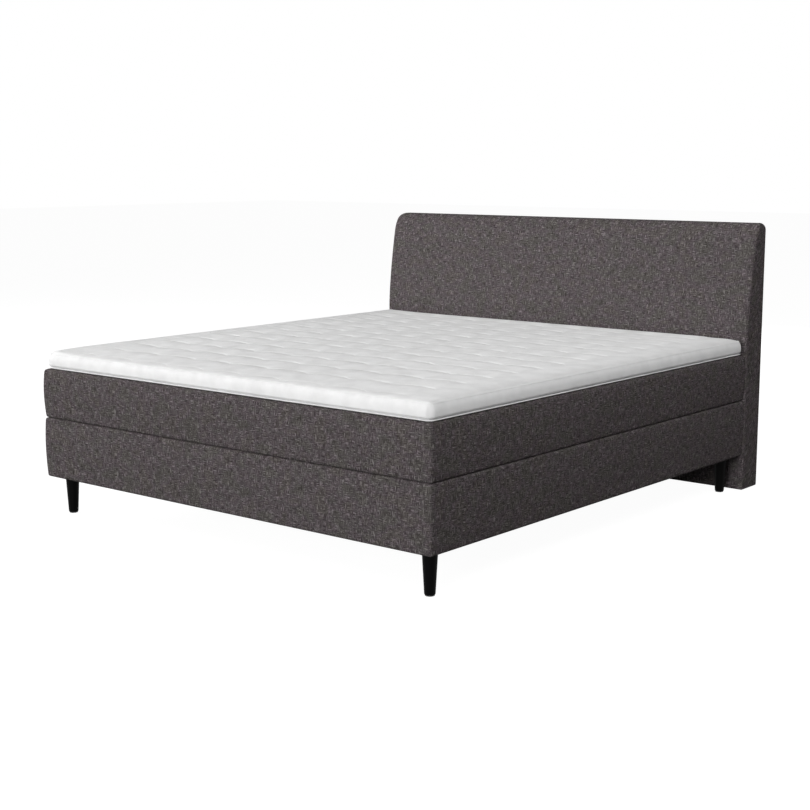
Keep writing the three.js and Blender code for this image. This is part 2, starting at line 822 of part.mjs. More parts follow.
/** Quilted top of the topper: padding sewn down in rows of arches, plain along its edges. */
function quiltedTop() {
  const inset = topperWall + fit;
  const half = topperPlan.width / 2 - inset;
  const near = topperPlan.near + inset;
  const far = topperPlan.far - inset;
  const radius = topperPlan.cornerRadius - inset;
  const underside = topperHem + 2 * fit + topperCoreHeight;
  const left = -topperPlan.width / 2 + quiltLeftMargin;
  const right = topperPlan.width / 2 - quiltRightMargin;
  const archPitch = (right - left) / quiltArches;
  const firstRow = topperPlan.near + quiltFootMargin;
  const span = topperPlan.far - quiltHeadMargin - firstRow;
  const rowPlaces = range(quiltRows).map((row) => {
    const share = row / (quiltRows - 1);
    return firstRow + span * (share + quiltTightening * share * (1 - share));
  });
  const soft = (distance) => Math.sin((Math.PI / 2) * Math.min(distance / quiltSoftEdge, 1));
  const plain = (distance) => topperHeight + quiltPlain * soft(distance);

  const edged = (y, inner) => [[-half, y, topperHeight], ...inner, [half, y, topperHeight]];
  const cusp = -quiltArchRise / 2; // where one arch meets the next
  const marginLeft = (y) => [left, y, plain(left + half)];
  const marginRight = (y) => [half - quiltSoftEdge, y, plain(quiltSoftEdge)];
  const channel = (y) => {
    const count = quiltArches * quiltArchSteps;
    const sewn = range(count - 1).map((k) => {
      const share = (k + 1) / quiltArchSteps;
      const rise = cusp + quiltArchRise * Math.abs(Math.sin(Math.PI * share));
      return [left + archPitch * share, y + rise, topperHeight + quiltChannel];
    });
    const end = [right, y + cusp, plain(quiltRightMargin)];
    return edged(y, [marginLeft(y + cusp), ...sewn, end, marginRight(y)]);
  };
  const crest = (y) => {
    const crown = topperHeight + quiltCrest;
    const tops = range(quiltArches - 1).map((k) => [left + archPitch * (k + 1), y, crown]);
    return edged(y, [marginLeft(y), ...tops, [right, y, plain(quiltRightMargin)], marginRight(y)]);
  };
  const cornerRows = range(cornerSteps + 1).map((step) => {
    const angle = (Math.PI / 2) * (step / cornerSteps);
    const away = radius * (1 - Math.cos(angle));
    const x = half - radius * (1 - Math.sin(angle));
    return { away, x };
  });
  const cornerRow = (y, { away, x }) =>
    away === 0
      ? [
          [-x, y, topperHeight],
          [x, y, topperHeight],
        ]
      : [
          [-x, y, topperHeight],
          [-half + quiltSoftEdge, y, plain(away)],
          [half - quiltSoftEdge, y, plain(away)],
          [x, y, topperHeight],
        ];
  const plainRow = (y) => edged(y, [[-half + quiltSoftEdge, y, plain(quiltSoftEdge)], marginRight(y)]);
  const rows = [
    ...cornerRows.map((corner) => cornerRow(near + corner.away, corner)),
    plainRow(near + quiltSoftEdge),
    ...rowPlaces.slice(1).flatMap((next, row) => {
      const y = rowPlaces[row];
      const shoulder = (next - y) * quiltShoulderShare;
      return [channel(y), crest(y + shoulder), crest(next - shoulder)];
    }),
    channel(rowPlaces.at(-1)),
    plainRow(far - quiltSoftEdge),
    ...[...cornerRows].reverse().map((corner) => cornerRow(far - corner.away, corner)),
  ];

  const faces = [];
  const down = ([x, y]) => [x, y, underside];
  const quad = (a, b, c, d) => faces.push(a, b, c, a, c, d);
  rows.slice(1).forEach((row, i) => {
    const before = rows[i];
    faces.push(...stitchRows(before, row));
    const [leftNear, leftFar] = [before[0], row[0]];
    const [rightNear, rightFar] = [before.at(-1), row.at(-1)];
    quad(down(rightNear), down(rightFar), rightFar, rightNear);
    quad(down(leftFar), down(leftNear), leftNear, leftFar);
    quad(down(leftNear), down(leftFar), down(rightFar), down(rightNear));
  });
  const [footLeft, footRight] = rows[0];
  const [headLeft, headRight] = rows.at(-1);
  quad(down(footLeft), down(footRight), footRight, footLeft);
  quad(down(headRight), down(headLeft), headLeft, headRight);
  return fromFaces(faces);
}

/** The quilted topper on the mattress. */
function buildTopper() {
  const topper = new THREE.Group();
  topper.position.z = topperBottom;
  topper.add(
    piece("topper_bottom_cloth", "ticking", sheetIn(topperPlan, topperHemWidth + fit, topperHem)),
    piece(
      "topper_core",
      "foam",
      sheetIn(topperPlan, topperWall + fit, topperCoreHeight),
      0,
      0,
      topperHem + fit,
    ),
    piece("topper_border", "ticking", topperBorder()),
    piece("topper_quilted_top", "ticking", quiltedTop()),
  );
  return topper;
}

/** How far the headboard's front stands back at a height, on a body drawn in by inset. */
function headboardSetBack(z, inset) {
  const top = headboardHeight - inset;
  const lean = Math.max(z - headboardCurveStart, 0) / (top - headboardCurveStart);
  return inset + headboardLean * lean ** headboardLeanPower;
}

/** Heights of the headboard's front profile with its rounding under the top edge, drawn in by inset. */
function headboardProfile(inset) {
  const top = headboardHeight - inset;
  const noseStart = top - headboardNoseHeight;
  const face = range(headboardCurveSteps + 1).map((step) => {
    const z = headboardCurveStart + (noseStart - headboardCurveStart) * (step / headboardCurveSteps);
    return [headboardSetBack(z, inset), z];
  });
  const nose = range(headboardNoseSteps).map((step) => {
    const angle = (Math.PI / 2) * ((step + 1) / headboardNoseSteps);
    const z = noseStart + headboardNoseHeight * Math.sin(angle);
    return [headboardSetBack(z, inset) + headboardNoseDepth * (1 - Math.cos(angle)), z];
  });
  return [...face, ...nose];
}

/** Outer form of the headboard, drawn in by inset all round but at the back, where it ends at backY. */
function headboardForm(inset, backY) {
  const bottom = headboardClearance + inset;
  const top = headboardHeight - inset;
  const half = headboardWidth / 2 - inset;
  const lowRadius = Math.max(headboardBottomRadius - inset, leastRadius);
  const topRadius = headboardCornerRadius - inset;
  const edgeRadius = headboardEdgeRadius - inset;
  const levels = [[inset + lowRadius / 2, bottom], [inset, bottom + lowRadius], ...headboardProfile(inset)];
  const outlines = levels.map(([front, z]) => {
    const above = Math.min(Math.max(z - (top - topRadius), 0), topRadius);
    const below = Math.max(bottom + lowRadius - z, 0);
    const side = half - (topRadius - Math.sqrt(topRadius ** 2 - above ** 2)) - below / 2;
    const radius = Math.min(edgeRadius, (backY - front) / 2);
    const arc = range(headboardEdgeSteps + 1).map((step) => {
      const angle = (Math.PI / 2) * (step / headboardEdgeSteps);
      return [side - radius * (1 - Math.cos(angle)), front + radius * (1 - Math.sin(angle))];
    });
    const left = arc.map(([x, y]) => [-x, y, z]);
    const right = [...arc].reverse().map(([x, y]) => [x, y, z]);
    return [[side, backY, z], [-side, backY, z], ...left, ...right];
  });
  return loft(outlines, false);
}

/** The headboard: a hollow timber frame with profiled gables, a bent panel, foam and a cloth cover. */
function buildHeadboard() {
  const headboard = new THREE.Group();
  headboard.position.y = headboardFront;
  const foamInset = headboardCloth + fit;
  const panelFront = foamInset + headboardFoam + fit;
  const gableFront = panelFront + headboardPanel + fit;
  const frameHalf = headboardWidth / 2 - headboardCloth - headboardSideFoam;
  const frameTop = headboardHeight - headboardTopFoam - headboardCloth;
  const frameBottom = headboardClearance + headboardCloth + fit;
  const frameBack = headboardDepth - headboardCloth - fit;

  // Front line of the frame at a distance behind the cloth, from an upper end down to a lower one
  const frontLine = (distance, bottom, top = frameTop) => {
    const levels = headboardProfile(0)
      .map(([y, z]) => [y + distance, z])
      .filter(([, z]) => z < frameTop);
    const [lastY, lastZ] = levels.at(-1);
    const [nextY, nextZ] = headboardProfile(0)[levels.length];
    const topY = lastY + ((nextY + distance - lastY) * (frameTop - lastZ)) / (nextZ - lastZ);
    return [[topY, top], ...levels.reverse(), [distance, bottom]];
  };
  const gableProfile = [
    ...frontLine(gableFront, frameBottom),
    [frameBack, frameBottom],
    [frameBack, frameTop],
  ];
  const panelProfile = [
    ...frontLine(panelFront, frameBottom),
    ...frontLine(panelFront + headboardPanel, frameBottom).reverse(),
  ];
  const openBack = headboardDepth + cutOverrun;
  const belowFoam = -cutOverrun;
  const aboveFrame = frameTop + fit;
  const foamHollow = [
    ...frontLine(panelFront - fit, belowFoam, aboveFrame),
    [openBack, belowFoam],
    [openBack, aboveFrame],
  ];

  const railFront = frameBack - headboardRailThickness;
  const railHalf = frameHalf - gableThickness - fit;
  const rail = (front, back, bottom, top) => [
    [-railHalf, front, bottom],
    [railHalf, back, top],
  ];
  const bottomRail = rail(railFront, frameBack, frameBottom, frameBottom + headboardRailHeight);
  const topRail = rail(railFront, frameBack, frameTop - headboardRailHeight, frameTop);
  const boltRail = rail(
    gableFront,
    gableFront + boltRailThickness,
    boltHeight - boltRailHeight / 2,
    boltHeight + boltRailHeight / 2,
  );
  const loosened = ([low, high]) =>
    boxBetween(
      low.map((value) => value - fit),
      high.map((value) => value + fit),
    );
  const holes = (fromY, toY) => boltHoles(fromY, toY, boltHeight);
  const glidePlaces = [
    ["left", -frameHalf + gableThickness / 2],
    ["right", frameHalf - gableThickness / 2],
  ];
  const glideY = (gableFront + frameBack) / 2;
  const glideHeightHere = headboardClearance - fit;
  const glideTop = glideHeightHere + headboardGlidePin;
  const pinHole = glidePinDiameter + 2 * boreGap;
  const pinHoles = glidePlaces.map(([, x]) => drillUp(x, glideY, pinHole, -cutOverrun, glideTop + fit));

  const gable = (x) =>
    cut(
      acrossBed(gableProfile, gableThickness),
      drillUp(x, glideY, pinHole, frameBottom - cutOverrun, glideTop + fit),
    );
  const openingHalf = headboardWidth / 2 - headboardHem;
  const openingLow = headboardClearance + headboardHem;
  const openingHigh = headboardHeight - headboardHem - headboardCloth;
  headboard.add(
    piece("headboard_gable_left", "chipboard", gable(gableThickness / 2), -frameHalf),
    piece("headboard_gable_right", "chipboard", gable(gableThickness / 2), frameHalf - gableThickness),
    piece(
      "headboard_gable_centre",
      "chipboard",
      cut(
        acrossBed(gableProfile, gableThickness).translate(-gableThickness / 2, 0, 0),
        ...[bottomRail, topRail, boltRail].map(loosened),
      ),
    ),
    piece("headboard_bottom_rail", "pine", boxBetween(...bottomRail)),
    piece("headboard_top_rail", "pine", boxBetween(...topRail)),
    piece(
      "headboard_bolt_rail",
      "pine",
      cut(boxBetween(...boltRail), ...holes(0, gableFront + boltRailThickness + cutOverrun)),
    ),
    piece(
      "headboard_front_panel",
      "chipboard",
      cut(
        acrossBed(panelProfile, 2 * frameHalf).translate(-frameHalf, 0, 0),
        ...holes(0, panelFront + headboardPanel + cutOverrun),
      ),
    ),
    piece(
      "headboard_foam",
      "foam",
      cut(
        headboardForm(foamInset, headboardDepth - headboardCloth - fit),
        acrossBed(foamHollow, 2 * (frameHalf + fit)).translate(-frameHalf - fit, 0, 0),
        ...holes(-cutOverrun, panelFront + cutOverrun),
      ),
    ),
    piece(
      "headboard_cover",
      "upholstery",
      cut(
        headboardForm(0, headboardDepth),
        headboardForm(headboardCloth, headboardDepth - headboardCloth),
        boxBetween([-openingHalf, headboardDepth / 2, openingLow], [openingHalf, openBack, openingHigh]),
        ...holes(-cutOverrun, headboardFoam),
        ...pinHoles,
      ),
    ),
    piece(
      "headboard_back_cloth",
      "lining",
      boxBetween(
        [-openingHalf + fit, headboardDepth - headboardCloth, openingLow + fit],
        [openingHalf - fit, headboardDepth, openingHigh - fit],
      ),
    ),
  );
  for (const [name, x] of glidePlaces) {
    const disc = glide(headboardGlideDiameter, glideHeightHere, headboardGlidePin);
    headboard.add(piece(`headboard_glide_${name}`, "blackPlastic", disc, x, glideY));
  }
  const boltStart = frameFar - railThickness - fit - headboardFront; // inner face of the base's head rail
  const boltReach = gableFront + boltRailThickness - boltStart;
  for (const [name, x] of boltPlaces) {
    const bolt = turned(
      [
        [0, 0],
        [boltHeadDiameter / 2, 0],
        [boltHeadDiameter / 2, boltHeadHeight],
        [boltWasherDiameter / 2, boltHeadHeight],
        [boltWasherDiameter / 2, boltHeadHeight + boltWasherHeight],
        [boltDiameter / 2, boltHeadHeight + boltWasherHeight],
        [boltDiameter / 2, boltHeadHeight + boltWasherHeight + boltReach],
        [0, boltHeadHeight + boltWasherHeight + boltReach],
      ],
      12,
    ).rotateX(-Math.PI / 2);
    const start = boltStart - boltHeadHeight - boltWasherHeight;
    headboard.add(piece(`headboard_bolt_${name}`, "zincSteel", bolt, x, start, boltHeight));
  }
  return headboard;
}

const bed = new THREE.Group();
bed.position.y = -overallLength / 2;
bed.add(buildBase(), buildLegs(), buildMattress(), buildTopper(), buildHeadboard());

export default bed;
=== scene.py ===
"""Box spring bed: its looks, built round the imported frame.

Each sub-assembly is a class that reads its boxes from the frame, builds its soft and turned
pieces as meshes, gives every piece its finish and rides it on its body. Metres, +Z up, +Y from
the foot of the bed to its headboard, +X to the right as seen from the foot.
"""

import logging
import math
import random
from collections.abc import Callable, Sequence
from dataclasses import dataclass, field
from enum import Enum
from functools import cache

import bmesh
import bpy
import numpy as np
from mathutils import Matrix, Vector, noise


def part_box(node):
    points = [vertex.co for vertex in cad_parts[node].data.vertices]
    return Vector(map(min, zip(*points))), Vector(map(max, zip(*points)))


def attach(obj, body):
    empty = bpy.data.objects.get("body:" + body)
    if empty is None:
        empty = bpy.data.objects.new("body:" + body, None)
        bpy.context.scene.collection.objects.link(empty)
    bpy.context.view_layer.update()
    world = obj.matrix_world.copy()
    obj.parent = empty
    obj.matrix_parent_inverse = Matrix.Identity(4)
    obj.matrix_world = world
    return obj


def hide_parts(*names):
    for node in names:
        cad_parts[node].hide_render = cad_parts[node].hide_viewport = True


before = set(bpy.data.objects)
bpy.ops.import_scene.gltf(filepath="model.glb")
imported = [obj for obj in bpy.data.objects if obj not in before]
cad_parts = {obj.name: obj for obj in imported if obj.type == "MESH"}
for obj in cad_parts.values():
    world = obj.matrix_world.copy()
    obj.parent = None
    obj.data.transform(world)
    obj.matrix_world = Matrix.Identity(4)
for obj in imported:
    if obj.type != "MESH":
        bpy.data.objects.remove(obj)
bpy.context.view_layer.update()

log = logging.getLogger("bed")

MM = 0.001
CLOTH_MAP = "cloth"  # UV map in metres, along the cloth's own threads
WAVE_PERIOD = math.pi / 10  # period of the wave texture at scale 1
MERGE = 0.01 * MM  # points nearer than this are one
CREASE = math.radians(35)  # edges sharper than this stay sharp

Node = bpy.types.Node
Piece = bpy.types.Object
Source = float | tuple | Node | bpy.types.NodeSocket
Pair = tuple[float, float]
Triple = tuple[float, float, float]
Quilt = tuple[np.ndarray, np.ndarray, np.ndarray, list[np.ndarray]]


class Body(Enum):
    """Bodies of the frame that the pieces ride on."""

    BASE = "base"
    MATTRESS = "mattress"
    TOPPER = "topper"
    FOOT_SCREW = "foot_screw"
    HEAD_SCREW = "head_screw"


class Grain(Enum):
    """Direction in which a board was sawn."""

    ACROSS = 0
    ALONG = 1
    UPRIGHT = 2


def srgb(code: str) -> tuple[float, float, float, float]:
    """Turns a written sRGB colour, such as "#5b5654", to linear with full alpha."""
    parts = [int(code[i : i + 2], 16) / 255 for i in (1, 3, 5)]
    return (*[c / 12.92 if c <= 0.04045 else ((c + 0.055) / 1.055) ** 2.4 for c in parts], 1.0)


class Tree:
    """A node tree that is filled by calls."""

    def __init__(self, tree: bpy.types.NodeTree) -> None:
        """Takes the tree to fill."""
        self.tree = tree

    def add(self, kind: str, inputs: dict | None = None, **settings: object) -> Node:
        """Adds a node with its settings and links.

        Args:
            kind: Blender's name of the node type.
            inputs: A value, a socket, or a node whose first output counts, by input name or number.
            settings: Attributes of the node.

        Returns:
            The new node.
        """
        made = self.tree.nodes.new(kind)
        for name, value in settings.items():
            setattr(made, name, value)
        for key, value in (inputs or {}).items():
            source = value.outputs[0] if isinstance(value, Node) else value
            if isinstance(source, bpy.types.NodeSocket):
                self.tree.links.new(source, made.inputs[key])
            else:
                made.inputs[key].default_value = source
        return made

    def total(self, *terms: tuple[Source, float]) -> Source:
        """Adds a sum.

        Args:
            terms: Sources, each with its weight.

        Returns:
            The sum's last node.
        """
        result = 0.0
        for source, weight in terms:
            inputs = {0: source, 1: weight, 2: result}
            result = self.add("ShaderNodeMath", inputs, operation="MULTIPLY_ADD")
        return result


class Surface(Tree):
    """A material's tree round its one shader, and the patterns that finishes draw in it."""

    def __init__(self, tree: bpy.types.NodeTree, constants: dict[str, Source], bump: float) -> None:
        """Adds the shader.

        Args:
            tree: The material's tree.
            constants: Values of the shader's own sockets.
            bump: Depth of the finish's relief.
        """
        super().__init__(tree)
        tree.nodes.clear()
        self.bump = bump
        self.shader = self.add("ShaderNodeBsdfPrincipled", constants)
        self.add("ShaderNodeOutputMaterial", {"Surface": self.shader})

    def feed(self, socket: str, source: Source) -> None:
        """Links a node's first output, or a socket, to the shader."""
        start = source.outputs[0] if isinstance(source, Node) else source
        self.tree.links.new(start, self.shader.inputs[socket])

    def relief(self, height: Source, strength: float = 1.0) -> None:
        """Links a height to the shader's normal, at the finish's bump depth."""
        inputs = {"Strength": strength, "Distance": self.bump, "Height": height}
        self.feed("Normal", self.add("ShaderNodeBump", inputs))

    def ramp(self, factor: Source, *stops: tuple[float, str]) -> Node:
        """Adds a colour ramp.

        Args:
            factor: What drives it.
            stops: Positions and sRGB colours.

        Returns:
            The ramp.
        """
        made = self.add("ShaderNodeValToRGB", {"Fac": factor})
        marks = made.color_ramp.elements
        while len(marks) < len(stops):
            marks.new(0.5)
        for mark, (position, code) in zip(marks, sorted(stops)):
            mark.position = position
            mark.color = srgb(code)
        return made

    def in_solid(self, kind: str, sizes: Triple, turn: float = 0.0, **inputs: float) -> Node:
        """Adds a solid texture.

        Args:
            kind: Blender's name of the texture node.
            sizes: Size of the pattern along X, Y and Z.
            turn: Angle about Z in radians.
            inputs: Values of its own inputs.

        Returns:
            The texture.
        """
        where = self.add("ShaderNodeTexCoord").outputs["Object"]
        counted = {"Vector": where, "Scale": tuple(1 / size for size in sizes), "Rotation": (0, 0, turn)}
        return self.add(kind, {"Vector": self.add("ShaderNodeMapping", counted), "Scale": 1.0, **inputs})

    def on_cloth(self, across: float, along: float, shift: float = 0.0) -> Node:
        """Adds cloth coordinates counted in pattern sizes.

        Args:
            across: Size of the pattern across the cloth.
            along: Size of the pattern up the cloth.
            shift: Keeps two patterns apart.

        Returns:
            The mapping.
        """
        where = self.add("ShaderNodeUVMap", uv_map=CLOTH_MAP)
        inputs = {"Vector": where, "Scale": (1 / across, 1 / along, 1), "Location": (shift, shift, 0)}
        return self.add("ShaderNodeMapping", inputs)

    def speckle(self, across: float, along: float, shift: float = 0.0, detail: float = 2.0) -> Node:
        """Adds noise on the cloth, of a size across and along it."""
        inputs = {"Vector": self.on_cloth(across, along, shift), "Scale": 1.0, "Detail": detail}
        return self.add("ShaderNodeTexNoise", inputs, noise_dimensions="2D")

    def crossed(self, chosen: Source, length: float, width: float, shifts: Pair, detail: float) -> Node:
        """Adds streaks that run across the cloth in some places and up it in others.

        Args:
            chosen: 0 where they run across and 1 where they run up.
            length: Their length.
            width: Their width.
            shifts: Shifts of the two patterns.
            detail: Octaves of their noise.

        Returns:
            The streaks.
        """
        across = self.speckle(length, width, shifts[0], detail)
        upwards = self.speckle(width, length, shifts[1], detail)
        return self.add("ShaderNodeMix", {0: chosen, 2: across, 3: upwards}, data_type="FLOAT")

    def ribs(self, across: float, along: float, distortion: float) -> list[Source]:
        """Adds ribs of a size across the cloth, and others along it."""
        inputs = {"Vector": self.on_cloth(across, along), "Scale": WAVE_PERIOD, "Distortion": distortion}
        return [self.add("ShaderNodeTexWave", inputs, bands_direction=way).outputs["Fac"] for way in "XY"]


@dataclass(frozen=True)
class Finish:
    """A surface finish with its typical values. Subclasses draw its pattern."""

    name: str
    colour: str
    roughness: float = 0.9
    metallic: float = 0.0
    specular: float = 0.5
    sheen: float = 0.0
    bump: float = 0.5 * MM

    def material(self) -> bpy.types.Material:
        """Gives the finish's one material, made when it is first asked for.

        Returns:
            The material.
        """
        made = bpy.data.materials.get(self.name)
        if made is None:
            made = bpy.data.materials.new(self.name)
            made.use_nodes = True
            made.diffuse_color = srgb(self.colour)
            constants = {
                "Base Color": srgb(self.colour),
                "Roughness": self.roughness,
                "Metallic": self.metallic,
                "Specular IOR Level": self.specular,
                "Sheen Weight": self.sheen,
            }
            self.draw(Surface(made.node_tree, constants, self.bump))
        return made

    def draw(self, surface: Surface) -> None:
        """Draws the finish's pattern."""


@dataclass(frozen=True)
class MelangeWeave(Finish):
    """Flat-woven polyester in melange yarn: slubs that run across and up, and specks of pale yarn.

    The real threads lie 1.2 mm apart. They are drawn twice as coarse, so that the weave shows.
    """

    dark: str = "#3b3739"
    deep: str = "#4b4748"
    pale: str = "#969193"
    thread: float = 2.4 * MM
    dash: float = 12 * MM
    slub_width: float = 2.4 * MM
    slub_length: float = 26 * MM
    cluster: float = 12 * MM
    patch: float = 85 * MM
    pale_share: float = 0.6
    dark_share: float = 0.85
    tint_share: float = 0.9
    tints: tuple[str, ...] = ("#f5f6ec", "#fbf9f7", "#fdf3f8", "#faf7ef")

    def draw(self, surface: Surface) -> None:
        """Draws slubs, specks, soft patches of warmer and greener yarn, and the weave's relief.

        Args:
            surface: The finish's surface.
        """
        cluster = surface.speckle(self.cluster, self.cluster, 7.3)
        chosen = surface.add("ShaderNodeMapRange", {"Value": cluster, "From Min": 0.44, "From Max": 0.56})
        yarn = surface.crossed(chosen, self.slub_length, self.slub_width, (0.0, 31.7), 3.0)
        stops = ((0.3, self.dark), (0.44, self.deep), (0.55, self.colour), (0.74, self.pale))
        speck = surface.crossed(chosen, self.dash, self.thread * 0.75, (12.9, 44.1), 1.0)
        pale_ends = {"Value": speck, "From Min": 0.66, "From Max": 0.8, "To Max": self.pale_share}
        dark_ends = {"Value": speck, "From Min": 0.36, "From Max": 0.24, "To Max": self.dark_share}
        patch = surface.speckle(self.patch, self.patch * 0.7, 3.1, 3.0)
        positions = np.linspace(0.36, 0.64, len(self.tints)).tolist()
        layers = (
            (surface.add("ShaderNodeMapRange", pale_ends), srgb(self.pale), "MIX"),
            (surface.add("ShaderNodeMapRange", dark_ends), srgb(self.dark), "MIX"),
            (self.tint_share, surface.ramp(patch, *zip(positions, self.tints)), "MULTIPLY"),
        )
        tone = surface.ramp(yarn, *stops)
        for share, colour, mode in layers:
            inputs = {0: share, 6: tone, 7: colour}
            tone = surface.add("ShaderNodeMix", inputs, data_type="RGBA", blend_type=mode).outputs[2]
        surface.feed("Base Color", tone)
        warp, weft = surface.ribs(self.thread, self.thread, 0.4)
        weave = surface.add("ShaderNodeMath", {0: warp, 1: weft}, operation="MULTIPLY")
        surface.relief(surface.total((weave, 0.4), (yarn, 1.0), (speck, 1.3)))


@dataclass(frozen=True)
class KnitTicking(Finish):
    """White double-jersey ticking: fine ribs of loops, and uneven lustre painted into its colour as a soft
    random cloud of slightly darker white.

    The real loops are 0.8 mm wide. They are drawn at 1.6 mm, so that they show.
    """

    loop: float = 1.6 * MM
    painted_sheen_cloud: float = 70 * MM
    # the duller white of the painted sheen cloud
    painted_shade: str = "#e0e0e0"
    crease: float = 24 * MM

    def draw(self, surface: Surface) -> None:
        """Draws loops, a soft cloud of painted sheen and faint creases.

        Args:
            surface: The finish's surface.
        """
        # painted sheen: a soft random cloud that dulls the white slightly in places, standing in for uneven
        # lustre
        painted_sheen_cloud = surface.speckle(self.painted_sheen_cloud, self.painted_sheen_cloud, 0.0, 3.0)
        surface.feed("Base Color", surface.ramp(painted_sheen_cloud, (0.3, self.painted_shade), (0.62, self.colour)))
        ribs, courses = surface.ribs(self.loop, self.loop * 1.4, 0.6)
        creases = surface.speckle(self.crease, self.crease * 2.2, 5.5, 3.0)
        surface.relief(surface.total((ribs, 0.25), (courses, 0.2), (creases, 0.5)))


@dataclass(frozen=True)
class BondedCloth(Finish):
    """Spunbond polypropylene: a mat of fine fibres with a grid of bond points pressed into it."""

    fibre: float = 0.7 * MM
    fibre_length: float = 9.8 * MM
    bond: float = 2.4 * MM
    pale: str = "#3c3a39"

    def draw(self, surface: Surface) -> None:
        """Draws two layers of fibres and the bond points.

        Args:
            surface: The finish's surface.
        """
        thin, long = self.fibre, self.fibre_length
        long_way = surface.in_solid("ShaderNodeTexNoise", (thin, long, long), 0.6)
        cross_way = surface.in_solid("ShaderNodeTexNoise", (thin, long, thin), -0.9)
        bonds = surface.in_solid("ShaderNodeTexVoronoi", (self.bond,) * 3, Randomness=0.15)
        fibres = surface.total((long_way, 0.5), (cross_way, 0.5))
        surface.feed("Base Color", surface.ramp(fibres, (0.4, self.colour), (0.64, self.pale)))
        surface.relief(surface.total((fibres, 1.0), (bonds, 0.6)))


@dataclass(frozen=True)
class CutFoam(Finish):
    """Polyurethane foam as sawn from the block: fine open cells, with painted shade in their hollows."""

    cell: float = 1.4 * MM
    # colour of the painted shade in the cells' hollows
    painted_shade: str = "#d8cfb2"

    def draw(self, surface: Surface) -> None:
        """Draws the cells, darker towards their hollow middles as painted shade.

        Args:
            surface: The finish's surface.
        """
        cells = surface.in_solid("ShaderNodeTexVoronoi", (self.cell,) * 3)
        # painted shade: the colour darkens where the cells' relief is lowest, in their hollows
        surface.feed("Base Color", surface.ramp(cells, (0.1, self.painted_shade), (0.6, self.colour)))
        surface.relief(cells)


@dataclass(frozen=True)
class WasteFelt(Finish):
    """Needle felt of recycled fibres: grey, with threads of many colours."""

    fibre: float = 1.1 * MM
    cool: str = "#6d6f78"
    warm: str = "#9a6f62"

    def draw(self, surface: Surface) -> None:
        """Draws coloured fibres on the grey ground.

        Args:
            surface: The finish's surface.
        """
        sizes = (self.fibre * 9, self.fibre, self.fibre)
        strands = surface.in_solid("ShaderNodeTexNoise", sizes, 0.8, Detail=3.0)
        stops = ((0.3, self.cool), (0.42, self.colour), (0.6, self.colour), (0.68, self.warm))
        surface.feed("Base Color", surface.ramp(strands, *stops))
        surface.relief(strands)


@dataclass(frozen=True)
class PlanedPine(Finish):
    """Planed pine: pale early wood, darker late wood in long lines along the board."""

    grain: Grain = Grain.ALONG
    late: str = "#b9854c"
    between: str = "#d3a468"
    ring: float = 14 * MM
    run: float = 700 * MM
    lines: float = 46.0

    def sizes(self, thickness: float, length: float) -> list[float]:
        """Returns the three sizes of a pattern that runs with the board."""
        return [length if axis == self.grain.value else thickness for axis in range(3)]

    def draw(self, surface: Surface) -> None:
        """Draws growth rings that run with the board.

        Args:
            surface: The finish's surface.
        """
        rings = surface.in_solid("ShaderNodeTexNoise", self.sizes(self.ring, self.run), Detail=1.5)
        phase = surface.add("ShaderNodeMath", {0: rings, 1: self.lines}, operation="MULTIPLY")
        late = surface.add("ShaderNodeMath", {0: phase}, operation="SINE")
        share = surface.add("ShaderNodeMapRange", {"Value": late, "From Min": -0.4, "From Max": 1.0})
        pores = surface.in_solid("ShaderNodeTexNoise", self.sizes(self.ring / 22, self.run / 10))
        stops = ((0.0, self.colour), (0.75, self.between), (1.0, self.late))
        surface.feed("Base Color", surface.ramp(share, *stops))
        surface.relief(surface.total((share, 0.4), (pores, 1.0)), 0.6)


@dataclass(frozen=True)
class Chipboard(Finish):
    """Raw chipboard: pressed chips of a few millimetres in several browns."""

    chip: float = 4.5 * MM
    dark: str = "#8f6b41"
    pale: str = "#d2b383"

    def draw(self, surface: Surface) -> None:
        """Draws the chips.

        Args:
            surface: The finish's surface.
        """
        sizes = (self.chip, self.chip * 1.6, self.chip * 0.7)
        chips = surface.in_solid("ShaderNodeTexVoronoi", sizes, 0.5)
        stops = ((0.1, self.dark), (0.45, self.colour), (0.9, self.pale))
        surface.feed("Base Color", surface.ramp(chips.outputs["Color"], *stops))
        surface.relief(chips, 0.5)


@dataclass(frozen=True)
class FineGrain(Finish):
    """A hard finish with a fine random grain: moulded plastic, powder coat or plated steel."""

    grit: float = 1.2 * MM
    stretch: float = 1.0
    smoother: float = 0.06
    rougher: float = 0.06
    strength: float = 0.5

    def draw(self, surface: Surface) -> None:
        """Draws the grain in the relief and in the roughness.

        Args:
            surface: The finish's surface.
        """
        sizes = (self.grit, self.grit, self.grit * self.stretch)
        grains = surface.in_solid("ShaderNodeTexNoise", sizes)
        ends = {"To Min": self.roughness - self.smoother, "To Max": self.roughness + self.rougher}
        surface.feed("Roughness", surface.add("ShaderNodeMapRange", {"Value": grains, **ends}))
        surface.relief(grains, self.strength)


@dataclass(frozen=True)
class BlackLacquer(FineGrain):
    """Beech, sprayed with black satin lacquer: the pores just show along the leg."""

    grit: float = 0.9 * MM
    stretch: float = 30.0
    smoother: float = 0.05
    rougher: float = 0.08
    strength: float = 0.4


